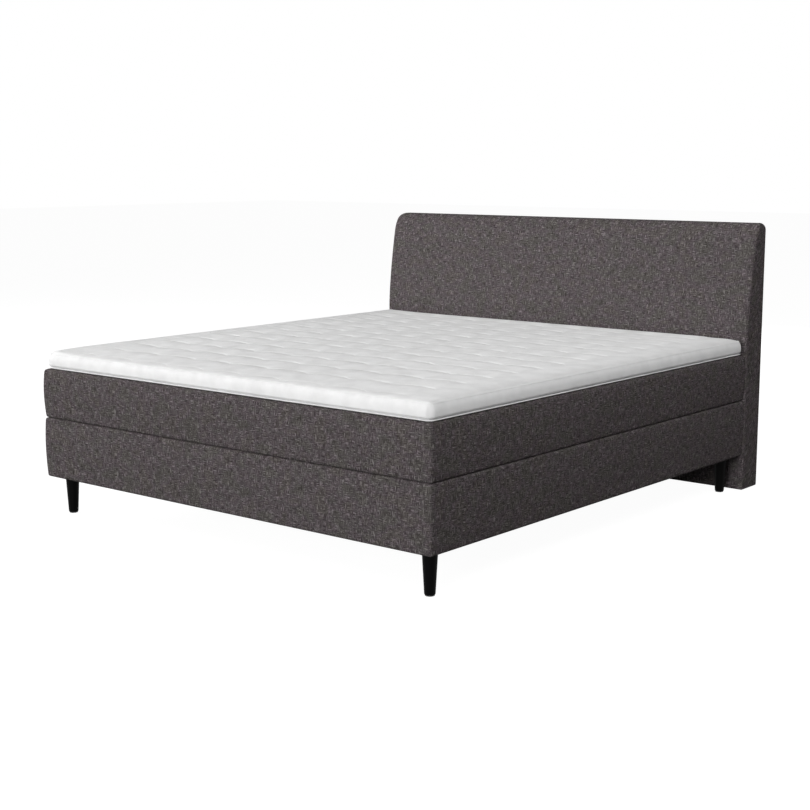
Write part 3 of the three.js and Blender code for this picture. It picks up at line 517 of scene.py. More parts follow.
UPHOLSTERY = MelangeWeave("melange_weave", "#5e5a5b", 0.95, specular=0.0, bump=1.9 * MM)
TICKING = KnitTicking("knit_ticking", "#e8e8e8", 0.9, specular=0.05, bump=0.4 * MM)
LINING = BondedCloth("bonded_black_cloth", "#262424", 0.95, specular=0.05, bump=0.25 * MM, pale="#454242")
POCKET_CLOTH = BondedCloth("bonded_white_cloth", "#e9e9e4", specular=0.3, bump=0.25 * MM, pale="#f7f7f4")
FOAM = CutFoam("cut_foam", "#ece5cd", 0.95, specular=0.2, bump=0.5 * MM)
FELT = WasteFelt("waste_felt", "#a9a498", 0.98, specular=0.2, bump=0.8 * MM)
PINE = {
    grain: PlanedPine(f"planed_pine_{grain.name.lower()}", "#e2c08c", 0.6, bump=0.2 * MM, grain=grain)
    for grain in Grain
}
CHIPBOARD = Chipboard("raw_chipboard", "#b3905f", 0.8, bump=0.3 * MM)
LACQUER = BlackLacquer("lacquered_beech", "#020202", 0.5, specular=0.04, bump=0.06 * MM)
PLASTIC = FineGrain("moulded_polypropylene", "#131314", 0.5, bump=0.08 * MM, grit=0.7 * MM)
POWDER_COAT = FineGrain("black_powder_coat", "#111112", 0.45, bump=0.12 * MM, grit=1.4 * MM)
ZINC = FineGrain(
    "zinc_plated_steel", "#b4b7bb", 0.34, 1.0, bump=0.03 * MM, grit=2.5 * MM, smoother=0.1, rougher=0.1
)
THREAD = FineGrain("sewing_thread", "#f4f3f1", 0.8, sheen=0.2, bump=0.05 * MM, grit=0.5 * MM)


@dataclass(frozen=True)
class Block:
    """Box of a CAD node."""

    low: Vector
    high: Vector

    @classmethod
    def of(cls, node: str) -> "Block":
        """Returns the box of a node at rest."""
        return cls(*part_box(node))

    @property
    def size(self) -> Vector:
        """Returns its three sides."""
        return self.high - self.low

    @property
    def middle(self) -> Vector:
        """Returns its centre."""
        return (self.low + self.high) / 2


def way_round(points: np.ndarray) -> np.ndarray:
    """Returns the way along a closed row of points to each of them, and at the end the whole way."""
    steps = np.linalg.norm(np.roll(points, -1, axis=0) - points, axis=1)
    return np.concatenate([[0], np.cumsum(steps)])


@dataclass(frozen=True)
class Outline:
    """Rounded rectangle in a plane of its own, with a radius for each corner.

    Corners run anticlockwise from the upper left, so that a cloth's join lies there.
    """

    low: Pair
    high: Pair
    radii: tuple[float, float, float, float]
    spacing: float = 24 * MM
    corner_steps: int = 10
    least_radius: float = 1.5 * MM

    @classmethod
    def round_block(
        cls, block: Block, radius: float, spacing: float = 24 * MM, rear: float | None = None
    ) -> "Outline":
        """Returns the outline of a block seen from above, with one radius or another one at the rear."""
        back = radius if rear is None else rear
        return cls(block.low[:2], block.high[:2], (back, radius, radius, back), spacing)

    def ring(self, inset: float) -> np.ndarray:
        """Walks round the outline.

        Args:
            inset: How far the outline is drawn in.

        Returns:
            Points, as many for any inset.
        """
        (left, bottom), (right, top) = self.low, self.high
        corners = [(left, top, 1, -1), (left, bottom, 1, 1), (right, bottom, -1, 1), (right, top, -1, -1)]
        spans = [top - bottom, right - left] * 2
        arcs = []
        for quarter, ((x, y, in_x, in_y), radius) in enumerate(zip(corners, self.radii)):
            r = max(radius - inset, self.least_radius)
            centre = np.array([x + in_x * (inset + r), y + in_y * (inset + r)])
            angles = math.pi / 2 * (1 + quarter + np.linspace(0, 1, self.corner_steps + 1))
            arcs.append(centre + r * np.stack([np.cos(angles), np.sin(angles)], axis=1))
        points = []
        for arc, after, span in zip(arcs, arcs[1:] + arcs[:1], spans):
            count = max(2, round(span / self.spacing))
            shares = np.linspace(0, 1, count + 1)[1:-1, None]
            points += [arc, arc[-1] + (after[0] - arc[-1]) * shares]
        return np.concatenate(points)

    def level(self, inset: float, height: float) -> np.ndarray:
        """Returns the ring in space, level at a height."""
        return np.insert(self.ring(inset), 2, height, axis=1)

    def upright(self, inset: float, place: float) -> np.ndarray:
        """Returns the ring in space, upright at a place along the bed."""
        return np.insert(self.ring(inset), 1, place, axis=1)

    def cloth(self, up: Sequence[float]) -> np.ndarray:
        """Returns cloth coordinates of rows that run round the outline, at ways up the cloth."""
        return np.stack(np.meshgrid(way_round(self.ring(0)), up), axis=-1)


@dataclass
class Grid:
    """Rows of points with cloth coordinates, which have one more row or column where the grid joins up."""

    points: np.ndarray
    cloth: np.ndarray
    join_rows: bool = False
    join_columns: bool = False

    def quads(self, start: int) -> tuple[np.ndarray, np.ndarray]:
        """Lists the faces.

        Args:
            start: Number of the grid's first point in its mesh.

        Returns:
            Corner numbers of each face, and the cloth coordinates of each corner.
        """
        rows, columns = self.points.shape[:2]
        across = np.arange(columns if self.join_columns else columns - 1)
        along = np.arange(rows if self.join_rows else rows - 1)
        row, column = np.meshgrid(along, across, indexing="ij")
        turns = [(0, 0), (0, 1), (1, 1), (1, 0)]
        corners = [start + ((row + a) % rows) * columns + (column + b) % columns for a, b in turns]
        cloth = [self.cloth[row + a, column + b] for a, b in turns]
        return np.stack(corners, -1).reshape(-1, 4), np.stack(cloth, 2).reshape(-1, 2)

    def push(self, amounts: np.ndarray) -> None:
        """Moves a band's points level and away from its middle.

        Args:
            amounts: How far each point goes.
        """
        ring = self.points[0, :, :2]
        step = np.roll(ring, -1, axis=0) - np.roll(ring, 1, axis=0)
        side = np.stack([step[:, 1], -step[:, 0], np.zeros(len(step))], axis=1)
        side /= np.linalg.norm(side, axis=1, keepdims=True)
        self.points += side * amounts[..., None]


def put(name: str, data: bpy.types.ID) -> Piece:
    """Makes an object and puts it in the scene.

    Args:
        name: The object's name.
        data: Its mesh, lamp or camera.

    Returns:
        The object.
    """
    made = bpy.data.objects.new(name, data)
    bpy.context.scene.collection.objects.link(made)
    return made


def lay_cloth(work: bmesh.types.BMesh, faces: Sequence[bmesh.types.BMFace]) -> None:
    """Lays the cloth's threads straight across new flat faces.

    Args:
        work: The mesh at work.
        faces: Its new faces.
    """
    cloth = work.loops.layers.uv[CLOTH_MAP]
    for face in faces:
        face.normal_update()
        facing = max(range(3), key=lambda axis: abs(face.normal[axis]))
        across, up = ((1, 2), (0, 2), (0, 1))[facing]
        for loop in face.loops:
            loop[cloth].uv = (loop.vert.co[across], loop.vert.co[up])


def make_object(name: str, parts: Sequence[Grid], finish: Finish) -> Piece:
    """Makes one closed piece from grids that meet edge to edge. Open rims are closed with flat faces.

    Args:
        name: The piece's name.
        parts: Its grids.
        finish: Its finish.

    Returns:
        The new object.
    """
    points, faces, cloth, start = [], [], [], 0
    for part in parts:
        corners, where = part.quads(start)
        points.append(part.points.reshape(-1, 3))
        faces.append(corners)
        cloth.append(where)
        start += len(points[-1])
    mesh = bpy.data.meshes.new(name)
    mesh.from_pydata(np.concatenate(points).tolist(), [], np.concatenate(faces).tolist())
    layer = mesh.uv_layers.new(name=CLOTH_MAP)
    layer.data.foreach_set("uv", np.concatenate(cloth).astype(np.float32).ravel())

    work = bmesh.new()
    work.from_mesh(mesh)
    bmesh.ops.remove_doubles(work, verts=work.verts, dist=MERGE)
    bmesh.ops.dissolve_degenerate(work, edges=work.edges, dist=MERGE)
    rims = [edge for edge in work.edges if edge.is_boundary]
    closing = bmesh.ops.holes_fill(work, edges=rims, sides=0)["faces"] if rims else []
    lay_cloth(work, closing)
    work.faces.index_update()
    flat = [face.index for face in closing]
    bmesh.ops.recalc_face_normals(work, faces=work.faces)
    work.to_mesh(mesh)
    work.free()
    mesh.shade_smooth()
    mesh.set_sharp_from_angle(angle=CREASE)
    for index in flat:
        mesh.polygons[index].use_smooth = False
    mesh.materials.append(finish.material())
    return put(name, mesh)


def settle(piece: Piece, body: Body, slot: str, *nodes: str) -> Piece:
    """Rides a finished piece on its body and hides the CAD nodes that it stands for.

    Args:
        piece: The finished piece.
        body: Body that it moves with.
        slot: Name of the record's material slot; not used.
        nodes: CAD nodes that it stands for.

    Returns:
        The piece.
    """
    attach(piece, body.value)
    if nodes:
        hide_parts(*nodes)
    log.info("%s on %s: %d faces", piece.name, body.value, len(piece.data.polygons))
    return piece


def dress(finish: Finish, *nodes: str) -> None:
    """Gives carried-over CAD nodes their finish.

    Args:
        finish: The finish.
        nodes: The nodes' names.
    """
    for name in nodes:
        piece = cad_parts[name]
        for place in piece.material_slots:
            place.material = finish.material()
        if not piece.material_slots:
            piece.data.materials.append(finish.material())
        log.info("%s dressed in %s", name, finish.name)


def drift(points: np.ndarray, wavelength: float, seed: int) -> np.ndarray:
    """Smooth random values from -1 to 1.

    Args:
        points: Places, in the last axis.
        wavelength: Size of the waves.
        seed: Keeps two uses apart.

    Returns:
        One value for each place.
    """
    shift = Vector((seed * 3.7, seed * 1.3, seed * 5.1))
    values = [noise.noise(Vector(p) + shift) for p in (points.reshape(-1, 3) / wavelength).tolist()]
    return np.array(values).reshape(points.shape[:-1])


def fillet(centre: Pair, radius: float, start: float, end: float, steps: int) -> list[list[float]]:
    """Lists points on an arc.

    Args:
        centre: Its centre.
        radius: Its radius.
        start: First angle in degrees.
        end: Last angle in degrees.
        steps: Number of steps.

    Returns:
        The points, both ends among them.
    """
    angles = np.radians(np.linspace(start, end, steps + 1))
    return [[centre[0] + radius * math.cos(a), centre[1] + radius * math.sin(a)] for a in angles]


def band(outline: Outline, section: np.ndarray, bottom: float) -> Grid:
    """Builds a band that runs right round an outline.

    Args:
        outline: What it runs round, seen from above.
        section: Closed section, as rows of inset and height.
        bottom: Height that the section's heights are counted from.

    Returns:
        The band as a grid that joins up both ways.
    """
    rings = [outline.level(inset, bottom + z) for inset, z in section]
    return Grid(np.stack(rings), outline.cloth(way_round(section)), True, True)


@dataclass(frozen=True)
class Layer:
    """A flat layer that fills its node: foam or felt, which is padded, or a stretched cloth."""

    name: str
    node: str
    finish: Finish
    slot: str
    radius: float
    edge: float = 0.0
    fill: float | None = None
    rests_on: str = ""

    def build(self, body: Body) -> None:
        """Builds the layer, with rounded edges where it has a radius for them.

        Args:
            body: Body that it rides on.
        """
        space = Block.of(self.node)
        outline = Outline.round_block(space, self.radius)
        thickness = space.size.z
        r = min(self.edge, thickness / 2 - MERGE)
        side = [[0.0, 0.0], [0.0, thickness]]
        if r > 0:
            side = fillet((r, r), r, 270, 180, 4) + fillet((r, thickness - r), r, 180, 90, 4)
        rings = np.stack([outline.level(inset, space.low.z + z) for inset, z in side])
        cloth = outline.cloth(np.linspace(0, thickness, len(side)))
        piece = make_object(self.name, [Grid(rings, cloth, False, True)], self.finish)
        settle(piece, body, self.slot, self.node)


@dataclass(frozen=True)
class FoamEdge:
    """A foam border with softened edges that fills its node."""

    name: str
    node: str
    width: float
    radius: float
    softened: float = 4 * MM

    def build(self, body: Body) -> None:
        """Builds the border.

        Args:
            body: Body that it rides on.
        """
        space = Block.of(self.node)
        r = self.softened
        inner, upper = self.width - r, space.size.z - r
        corners = [(r, r, 270), (r, upper, 180), (inner, upper, 90), (inner, r, 0)]
        section = [point for x, z, turn in corners for point in fillet((x, z), r, turn, turn - 90, 3)]
        outline = Outline.round_block(space, self.radius)
        piece = make_object(self.name, [band(outline, np.array(section), space.low.z)], FOAM)
        settle(piece, body, "foam", self.node)


@dataclass(frozen=True)
class Crown:
    """Outer wall of an upholstered layer: it swells to its fullest line and turns in at rounded edges."""

    height: float
    fullest_share: float
    lower_taper: float
    upper_taper: float
    lower_radius: float
    upper_radius: float
    arc_steps: int = 8
    wall_steps: int = 18

    def swell(self, z: np.ndarray) -> np.ndarray:
        """Works out how far the wall stands behind its fullest line.

        Args:
            z: Heights.

        Returns:
            The distance at each height.
        """
        fullest = self.height * self.fullest_share
        below = self.lower_taper * np.maximum((fullest - z) / fullest, 0) ** 2
        above = self.upper_taper * np.maximum((z - fullest) / (self.height - fullest), 0) ** 2
        return below + above

    def wall(self) -> np.ndarray:
        """Lists the wall's points.

        Returns:
            Rows of inset and height, from below.
        """
        quarter = np.linspace(0, math.pi / 2, self.arc_steps + 1)
        low, high = self.lower_radius, self.upper_radius
        z_low = low * (1 - np.cos(quarter))
        z_wall = np.linspace(low, self.height - high, self.wall_steps + 1)[1:-1]
        z_high = self.height - high * (1 - np.sin(quarter))
        lower = self.swell(z_low) + low * (1 - np.sin(quarter))
        upper = self.swell(z_high) + high * (1 - np.cos(quarter))
        insets = np.concatenate([lower, self.swell(z_wall), upper])
        return np.stack([insets, np.concatenate([z_low, z_wall, z_high])], axis=1)


@dataclass(frozen=True)
class Cover:
    """Upholstered cover round a layer: cloth on wadding, with hems over the top and under the bottom."""

    crown: Crown
    plan_radius: float
    rear_radius: float
    seed: int
    top_hem: float = 3 * MM
    bottom_hem: float = 2 * MM
    depth: float = 15 * MM
    hem: float = 45 * MM
    unevenness: float = 0.7 * MM

    def build(self, name: str, node: str) -> tuple[Piece, Outline]:
        """Builds the cover, its outer wall slightly uneven, as cloth over wadding is.

        Args:
            name: The piece's name.
            node: The node whose place it takes.

        Returns:
            The piece, and the outline that it runs round.
        """
        block = Block.of(node)
        outline = Outline.round_block(block, self.plan_radius, rear=self.rear_radius)
        wall = self.crown.wall()
        height = self.crown.height
        lower = [[inset, 0.0] for inset in np.linspace(self.hem, wall[0, 0], 5)[:-1]]
        upper = [[inset, height] for inset in np.linspace(wall[-1, 0], self.hem, 5)[1:]]
        inside = [
            [self.hem, height - self.top_hem],
            [self.depth, height - self.top_hem],
            [self.depth, self.bottom_hem],
            [self.hem, self.bottom_hem],
        ]
        section = np.array(lower + wall.tolist() + upper + inside)
        made = band(outline, section, block.low.z)
        shown = np.zeros(len(section))
        shown[len(lower) : len(lower) + len(wall)] = np.sin(math.pi * np.linspace(0, 1, len(wall))) ** 0.5
        waves = drift(made.points, 190 * MM, self.seed) * 0.7
        waves += drift(made.points, 60 * MM, self.seed + 1) * 0.3
        made.push(self.unevenness * waves * shown[:, None])
        return make_object(name, [made], UPHOLSTERY), outline


@dataclass
class Turned:
    """A round piece from a profile of radius and height, upright on its own axis."""

    name: str
    profile: Sequence[Pair]
    finish: Finish
    sides: int = 64

    def build(self, space: Block, thread: Callable[[float, float], float] | None = None) -> Piece:
        """Turns the profile about the axis of its node, up from the node's lowest point.

        Args:
            space: The node's box.
            thread: Extra radius at a height and an angle, for a screw thread.

        Returns:
            The piece.
        """
        angles = np.linspace(0, 2 * math.pi, self.sides, endpoint=False)
        rows = []
        for radius, height in self.profile:
            extra = [thread(height, a) if thread and radius > 0 else 0.0 for a in angles]
            ring = radius + np.array(extra)
            x = space.middle.x + ring * np.cos(angles)
            y = space.middle.y + ring * np.sin(angles)
            rows.append(np.stack([x, y, np.full(self.sides, space.low.z + height)], axis=1))
        steps = np.linalg.norm(np.diff(np.array(self.profile), axis=0), axis=1)
        widest = max(radius for radius, _ in self.profile)
        around = np.linspace(0, 2 * math.pi * widest, self.sides + 1)
        cloth = np.stack(np.meshgrid(around, np.concatenate([[0], np.cumsum(steps)])), axis=-1)
        return make_object(self.name, [Grid(np.stack(rows), cloth, False, True)], self.finish)


class Pattern(Tree):
    """A Geometry Nodes tree for what repeats. It has named sizes and ends in plain faces with a material."""

    def __init__(self, name: str, sizes: dict[str, float]) -> None:
        """Starts a tree with a geometry input and named sizes.

        Args:
            name: The tree's name.
            sizes: Usual value of each size, by its name.
        """
        super().__init__(bpy.data.node_groups.new(name, "GeometryNodeTree"))
        sockets = self.tree.interface
        sockets.new_socket("Geometry", in_out="INPUT", socket_type="NodeSocketGeometry")
        for label, usual in sizes.items():
            kind = "NodeSocketInt" if isinstance(usual, int) else "NodeSocketFloat"
            sockets.new_socket(label, in_out="INPUT", socket_type=kind).default_value = usual
        sockets.new_socket("Geometry", in_out="OUTPUT", socket_type="NodeSocketGeometry")
        self.size = self.add("NodeGroupInput").outputs

    def end(self, instances: Node, finish: Finish) -> "Pattern":
        """Ends the tree in plain faces.

        Args:
            instances: What it has placed.
            finish: The faces' finish.

        Returns:
            The pattern.
        """
        real = self.add("GeometryNodeRealizeInstances", {0: instances})
        smooth = self.add("GeometryNodeSetShadeSmooth", {0: real})
        dressed = {"Geometry": smooth, "Material": finish.material()}
        self.add("NodeGroupOutput", {0: self.add("GeometryNodeSetMaterial", dressed)})
        return self

    def grow(self, name: str, values: dict[str, float], mesh: bpy.types.Mesh | None = None) -> Piece:
        """Runs the tree and keeps its result as a plain mesh.

        Args:
            name: The piece's name.
            values: Sizes by input name.
            mesh: Geometry that the tree starts from.

        Returns:
            The piece, with no modifier.
        """
        source = put(name + "_source", mesh or bpy.data.meshes.new(name + "_source"))
        modifier = source.modifiers.new("pattern", "NODES")
        modifier.node_group = self.tree
        for item in self.tree.interface.items_tree:
            if item.in_out == "INPUT" and item.name in values:
                modifier[item.identifier] = values[item.name]
        result = bpy.data.meshes.new_from_object(source.evaluated_get(bpy.context.evaluated_depsgraph_get()))
        result.name = name
        bpy.data.objects.remove(source)
        return put(name, result)


@cache
def pocket_pattern() -> Pattern:
    """Springs in cloth pockets, side by side: barrels drawn in at their ends by the cloth.

    Returns:
        A pattern with the counts, the lengths, the height, the radius and the pinch as inputs.
    """
    counts = {"Count X": 20, "Count Y": 22, "Length X": 1.6, "Length Y": 1.8}
    made = Pattern("pocket_springs", {**counts, "Height": 0.1, "Radius": 0.04, "Pinch": 0.22})
    size = made.size
    grid = {f"Size {axis}": size[f"Length {axis}"] for axis in "XY"}
    grid |= {f"Vertices {axis}": size[f"Count {axis}"] for axis in "XY"}
    top = made.add("ShaderNodeCombineXYZ", {"Z": size["Height"]})
    line = made.add("GeometryNodeCurvePrimitiveLine", {"Start": (0, 0, 0), "End": top})
    share = made.add("GeometryNodeSplineParameter").outputs["Factor"]
    turn = made.add("ShaderNodeMath", {0: share, 1: math.pi}, operation="MULTIPLY")
    swell = made.add("ShaderNodeMath", {0: turn}, operation="SINE")
    full = made.add("ShaderNodeMath", {0: swell, 1: 0.6}, operation="POWER")
    lack = made.add("ShaderNodeMath", {0: 1.0, 1: full}, operation="SUBTRACT")
    drawn_in = made.add("ShaderNodeMath", {0: lack, 1: size["Pinch"]}, operation="MULTIPLY")
    barrel = {
        "Curve": made.add("GeometryNodeResampleCurve", {"Curve": line, "Count": 7}),
        "Profile Curve": made.add(
            "GeometryNodeCurvePrimitiveCircle", {"Resolution": 10, "Radius": size["Radius"]}
        ),
        "Scale": made.add("ShaderNodeMath", {0: 1.0, 1: drawn_in}, operation="SUBTRACT"),
        "Fill Caps": True,
    }
    placed = {
        "Points": made.add("GeometryNodeMeshGrid", grid),
        "Instance": made.add("GeometryNodeCurveToMesh", barrel),
    }
    return made.end(made.add("GeometryNodeInstanceOnPoints", placed), POCKET_CLOTH)


@dataclass(frozen=True)
class PocketCore:
    """A layer of pocketed springs that fills its node, at about a pitch."""

    name: str
    node: str
    pitch: float

    def build(self, body: Body) -> None:
        """Builds the springs.

        Args:
            body: Body that they ride on.
        """
        space = Block.of(self.node)
        counts = [math.floor(space.size[axis] / self.pitch) for axis in (0, 1)]
        pitches = [space.size[axis] / counts[axis] for axis in (0, 1)]
        values = {
            "Count X": counts[0],
            "Count Y": counts[1],
            "Length X": space.size.x - pitches[0],
            "Length Y": space.size.y - pitches[1],
            "Height": space.size.z,
            "Radius": min(pitches) / 2,
        }
        piece = pocket_pattern().grow(self.name, values)
        place = Vector((space.middle.x, space.middle.y, space.low.z))
        piece.data.transform(Matrix.Translation(place))
        settle(piece, body, "pockets", self.node)


@dataclass(frozen=True)
class Fastening:
    """Short bits at even steps along paths, each lying along its path: stitches or staples."""

    name: str
    finish: Finish
    length: float
    width: float
    height: float

    @cache
    def pattern(self) -> Pattern:
        """Gives the bits' one pattern, made when it is first asked for.

        Returns:
            A pattern with the spacing and the bits' three sizes as inputs.
        """
        usual = {"Bit Length": self.length, "Bit Width": self.width, "Bit Height": self.height}
        made = Pattern(self.name, {"Spacing": 6 * MM, **usual})
        size = made.size
        paths = made.add("GeometryNodeMeshToCurve", {0: size["Geometry"]})
        even = {"Curve": paths, "Length": size["Spacing"]}
        tangent = made.add("GeometryNodeInputTangent")
        sizes = {"X": size["Bit Length"], "Y": size["Bit Width"], "Z": size["Bit Height"]}
        placed = {
            "Points": made.add("GeometryNodeResampleCurve", even, mode="LENGTH"),
            "Instance": made.add("GeometryNodeMeshUVSphere", {"Segments": 6, "Rings": 4, "Radius": 0.5}),
            "Rotation": made.add("FunctionNodeAlignRotationToVector", {"Vector": tangent}, axis="X"),
            "Scale": made.add("ShaderNodeCombineXYZ", sizes),
        }
        return made.end(made.add("GeometryNodeInstanceOnPoints", placed), self.finish)

    def lay(self, name: str, paths: Sequence[np.ndarray], spacing: float, closed: bool = True) -> Piece:
        """Lays bits along paths.

        Args:
            name: The piece's name.
            paths: Rows of points for each path.
            spacing: Distance between two bits.
            closed: Whether each path ends where it starts.

        Returns:
            The piece.
        """
        points, edges, start = [], [], 0
        for path in paths:
            count = len(path)
            points += path.tolist()
            edges += [(start + i, start + (i + 1) % count) for i in range(count if closed else count - 1)]
            start += count
        mesh = bpy.data.meshes.new(name + "_paths")
        mesh.from_pydata(points, edges, [])
        return self.pattern().grow(name, {"Spacing": spacing}, mesh)


STAPLES = Fastening("staples", ZINC, 10 * MM, 1.2 * MM, 1.0 * MM)
STITCHES = Fastening("stitches", THREAD, 4.6 * MM, 0.7 * MM, 0.6 * MM)
STITCH_SPACING = 5.5 * MM


@dataclass
class SpringBase:
    """The base: timber frame and slats from the frame, and its soft filling, cover and linings."""

    cover: Cover = Cover(Crown(227 * MM, 0.6, 6 * MM, 4.5 * MM, 10 * MM, 9 * MM), 9 * MM, 5 * MM, 3)
    staple_step: float = 38 * MM
    staple_inset: float = 53 * MM
    filling: tuple[FoamEdge | PocketCore | Layer, ...] = (
        FoamEdge("base_foam_edge", "base_foam_border", 55 * MM, 9 * MM),
        PocketCore("base_pocket_springs", "base_spring_core", 84 * MM),
        Layer("base_felt_pad", "base_comfort_pad", FELT, "felt", 4.5 * MM, 6 * MM, 0.9),
        Layer("base_top_lining", "base_top_cloth", LINING, "lining", 6 * MM, rests_on="base_felt_pad"),
        Layer("base_dust_lining", "base_dust_cover", LINING, "lining", 6 * MM, rests_on="base_cover"),
    )

    def build(self) -> None:
        """Builds and dresses the base."""
        piece, outline = self.cover.build("base_cover", "base_side_cover")
        settle(piece, Body.BASE, "upholstery", "base_side_cover")
        for part in self.filling:
            part.build(Body.BASE)
        path = outline.level(self.staple_inset, Block.of("base_dust_cover").low.z)
        settle(STAPLES.lay("base_staples", [path], self.staple_step), Body.BASE, "zinc_steel")
        slats = [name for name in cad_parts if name.startswith("base_slat_")]
        blocks = [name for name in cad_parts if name.startswith("base_corner_block_")]
        dress(PINE[Grain.ALONG], "base_side_rail_left", "base_side_rail_right", "base_centre_beam")
        dress(PINE[Grain.ACROSS], "base_foot_rail", "base_head_rail", *slats)
        dress(PINE[Grain.UPRIGHT], *blocks)


def build_glide(node: str, name: str) -> None:
    """Builds a glide with a domed rim in the place of its node.

    Args:
        node: The node.
        name: The piece's name.
    """
    space = Block.of(node)
    radius, pin = space.size.x / 2, 2.5 * MM
    height = min(4 * MM, space.size.z / 3)
    flat, rise = 0.86, 0.4 * height
    turns = (0.5, 1.0, math.pi / 2)
    dome = [(radius * (flat + (1 - flat) * math.sin(a)), rise * (1 - math.cos(a))) for a in turns]
    profile = [(0, 0), (radius * flat, 0), *dome, (radius, height), (pin, height), (pin, space.size.z)]
    piece = Turned(name, [*profile, (0, space.size.z)], PLASTIC, 40).build(space)
    settle(piece, Body.BASE, "black_plastic", node)


@dataclass
class Legs:
    """Four turned legs on glides, and two middle legs with screw feet."""

    top_diameter: float = 51 * MM
    foot_diameter: float = 36 * MM
    chamfer: float = 2 * MM
    top_edge: float = 0.6 * MM
    stud: float = 8 * MM
    stud_length: float = 45 * MM
    tube: float = 38 * MM
    flange: float = 76 * MM
    flange_height: float = 4 * MM
    bore_end: float = 40 * MM
    clearance: float = 0.6 * MM
    screw: float = 10 * MM
    screw_pitch: float = 1.5 * MM
    thread_depth: float = 0.55 * MM
    root_depth: float = 0.6 * MM
    disc: float = 44 * MM
    disc_height: float = 8 * MM

    def build(self) -> None:
        """Builds the legs, the glides and the middle legs."""
        for end, body in (("foot", Body.FOOT_SCREW), ("head", Body.HEAD_SCREW)):
            for side in ("left", "right"):
                self.build_leg(f"{end}_{side}")
                build_glide(f"leg_glide_{end}_{side}", f"floor_glide_{end}_{side}")
            self.build_middle_leg(end)
            self.build_screw_foot(end, body)

    def build_leg(self, place: str) -> None:
        """Builds one turned leg.

        Args:
            place: Its end and side.
        """
        space = Block.of(f"leg_{place}")
        height = space.size.z
        length = height - self.stud_length
        foot, top, stud = self.foot_diameter / 2, self.top_diameter / 2, self.stud / 2
        c, e = self.chamfer, self.top_edge
        taper = [(foot + (top - foot) * s, c + (length - e - c) * s) for s in (0.02, 0.5, 0.98, 1.0)]
        lower = [(0, 0), (foot - c, 0), (foot - c / 3, c / 3), (foot, c)]
        upper = [(top - e, length), (stud, length), (stud, height), (0, height)]
        leg = Turned(f"turned_leg_{place}", lower + taper + upper, LACQUER).build(space)
        settle(leg, Body.BASE, "black_lacquer", f"leg_{place}")

    def build_middle_leg(self, end: str) -> None:
        """Builds a steel middle leg with its bore and flange.

        Args:
            end: Its end of the bed.
        """
        space = Block.of(f"middle_leg_{end}")
        tube, flange, bore = self.tube / 2, self.flange / 2, self.screw / 2 + self.clearance
        top, mm = space.size.z, MM
        under = top - self.flange_height
        inside = [(0, top - self.bore_end), (bore, top - self.bore_end), (bore, 0)]
        wall = [(tube - mm, 0), (tube, mm), (tube, under - 3 * mm), (tube + mm, under - mm)]
        plate = [(tube + 3 * mm, under), (flange - mm, under), (flange, under + mm), (flange, top), (0, top)]
        piece = Turned(f"steel_middle_leg_{end}", inside + wall + plate, POWDER_COAT).build(space)
        settle(piece, Body.BASE, "black_steel", f"middle_leg_{end}")

    def build_screw_foot(self, end: str, body: Body) -> None:
        """Builds a screw foot with its thread.

        Args:
            end: Its end of the bed.
            body: Body that it rides on.
        """
        space = Block.of(f"screw_foot_{end}")
        disc, rod, height, top = self.disc / 2, self.screw / 2, self.disc_height, space.size.z
        root = rod - self.root_depth
        rows = np.arange(height + 1 * MM, top - 1 * MM, self.screw_pitch / 6)
        half = [(disc - 2 * MM, 0.0), (disc - 0.5 * MM, 0.6 * MM), (disc, 2 * MM)]
        upper = [(radius, height - z) for radius, z in reversed(half)]
        rod_points = [(root, height), *[(root, float(z)) for z in rows], (root, top), (0, top)]

        def thread(z: float, angle: float) -> float:
            """Returns the thread's extra radius on the rod."""
            turn = (z / self.screw_pitch - angle / (2 * math.pi)) % 1
            return self.thread_depth * (1 - abs(2 * turn - 1)) if rows[0] <= z <= rows[-1] else 0.0

        piece = Turned(f"threaded_foot_{end}", [(0, 0), *half, *upper, *rod_points], PLASTIC, 36)
        settle(piece.build(space, thread), body, "black_plastic", f"screw_foot_{end}")


@dataclass
class Mattress:
    """The loose mattress: spring core, foam, and a cover in the base's cloth with a knitted top."""

    cover: Cover = Cover(
        Crown(184.5 * MM, 0.53, 7 * MM, 6 * MM, 9 * MM, 13 * MM), 11 * MM, 8 * MM, 17, top_hem=8 * MM
    )
    filling: tuple[FoamEdge | PocketCore | Layer, ...] = (
        FoamEdge("mattress_foam_edge", "mattress_foam_border", 70 * MM, 5.5 * MM),
        PocketCore("mattress_pocket_springs", "mattress_spring_core", 66 * MM),
        Layer("mattress_foam_layer", "mattress_comfort_foam", FOAM, "foam", 5.5 * MM, 5 * MM, 0.9),
        Layer(
            "mattress_top_panel",
            "mattress_top_cover",
            TICKING,
            "ticking",
            radius=6 * MM,
            edge=3 * MM,
            rests_on="mattress_cover",
        ),
        Layer(
            "mattress_bottom_panel",
            "mattress_bottom_cover",
            LINING,
            "lining",
            radius=6 * MM,
            edge=3 * MM,
            rests_on="mattress_cover",
        ),
    )

    def build(self) -> None:
        """Builds and dresses the mattress."""
        piece, _ = self.cover.build("mattress_cover", "mattress_side_cover")
        settle(piece, Body.MATTRESS, "upholstery", "mattress_side_cover")
        for part in self.filling:
            part.build(Body.MATTRESS)


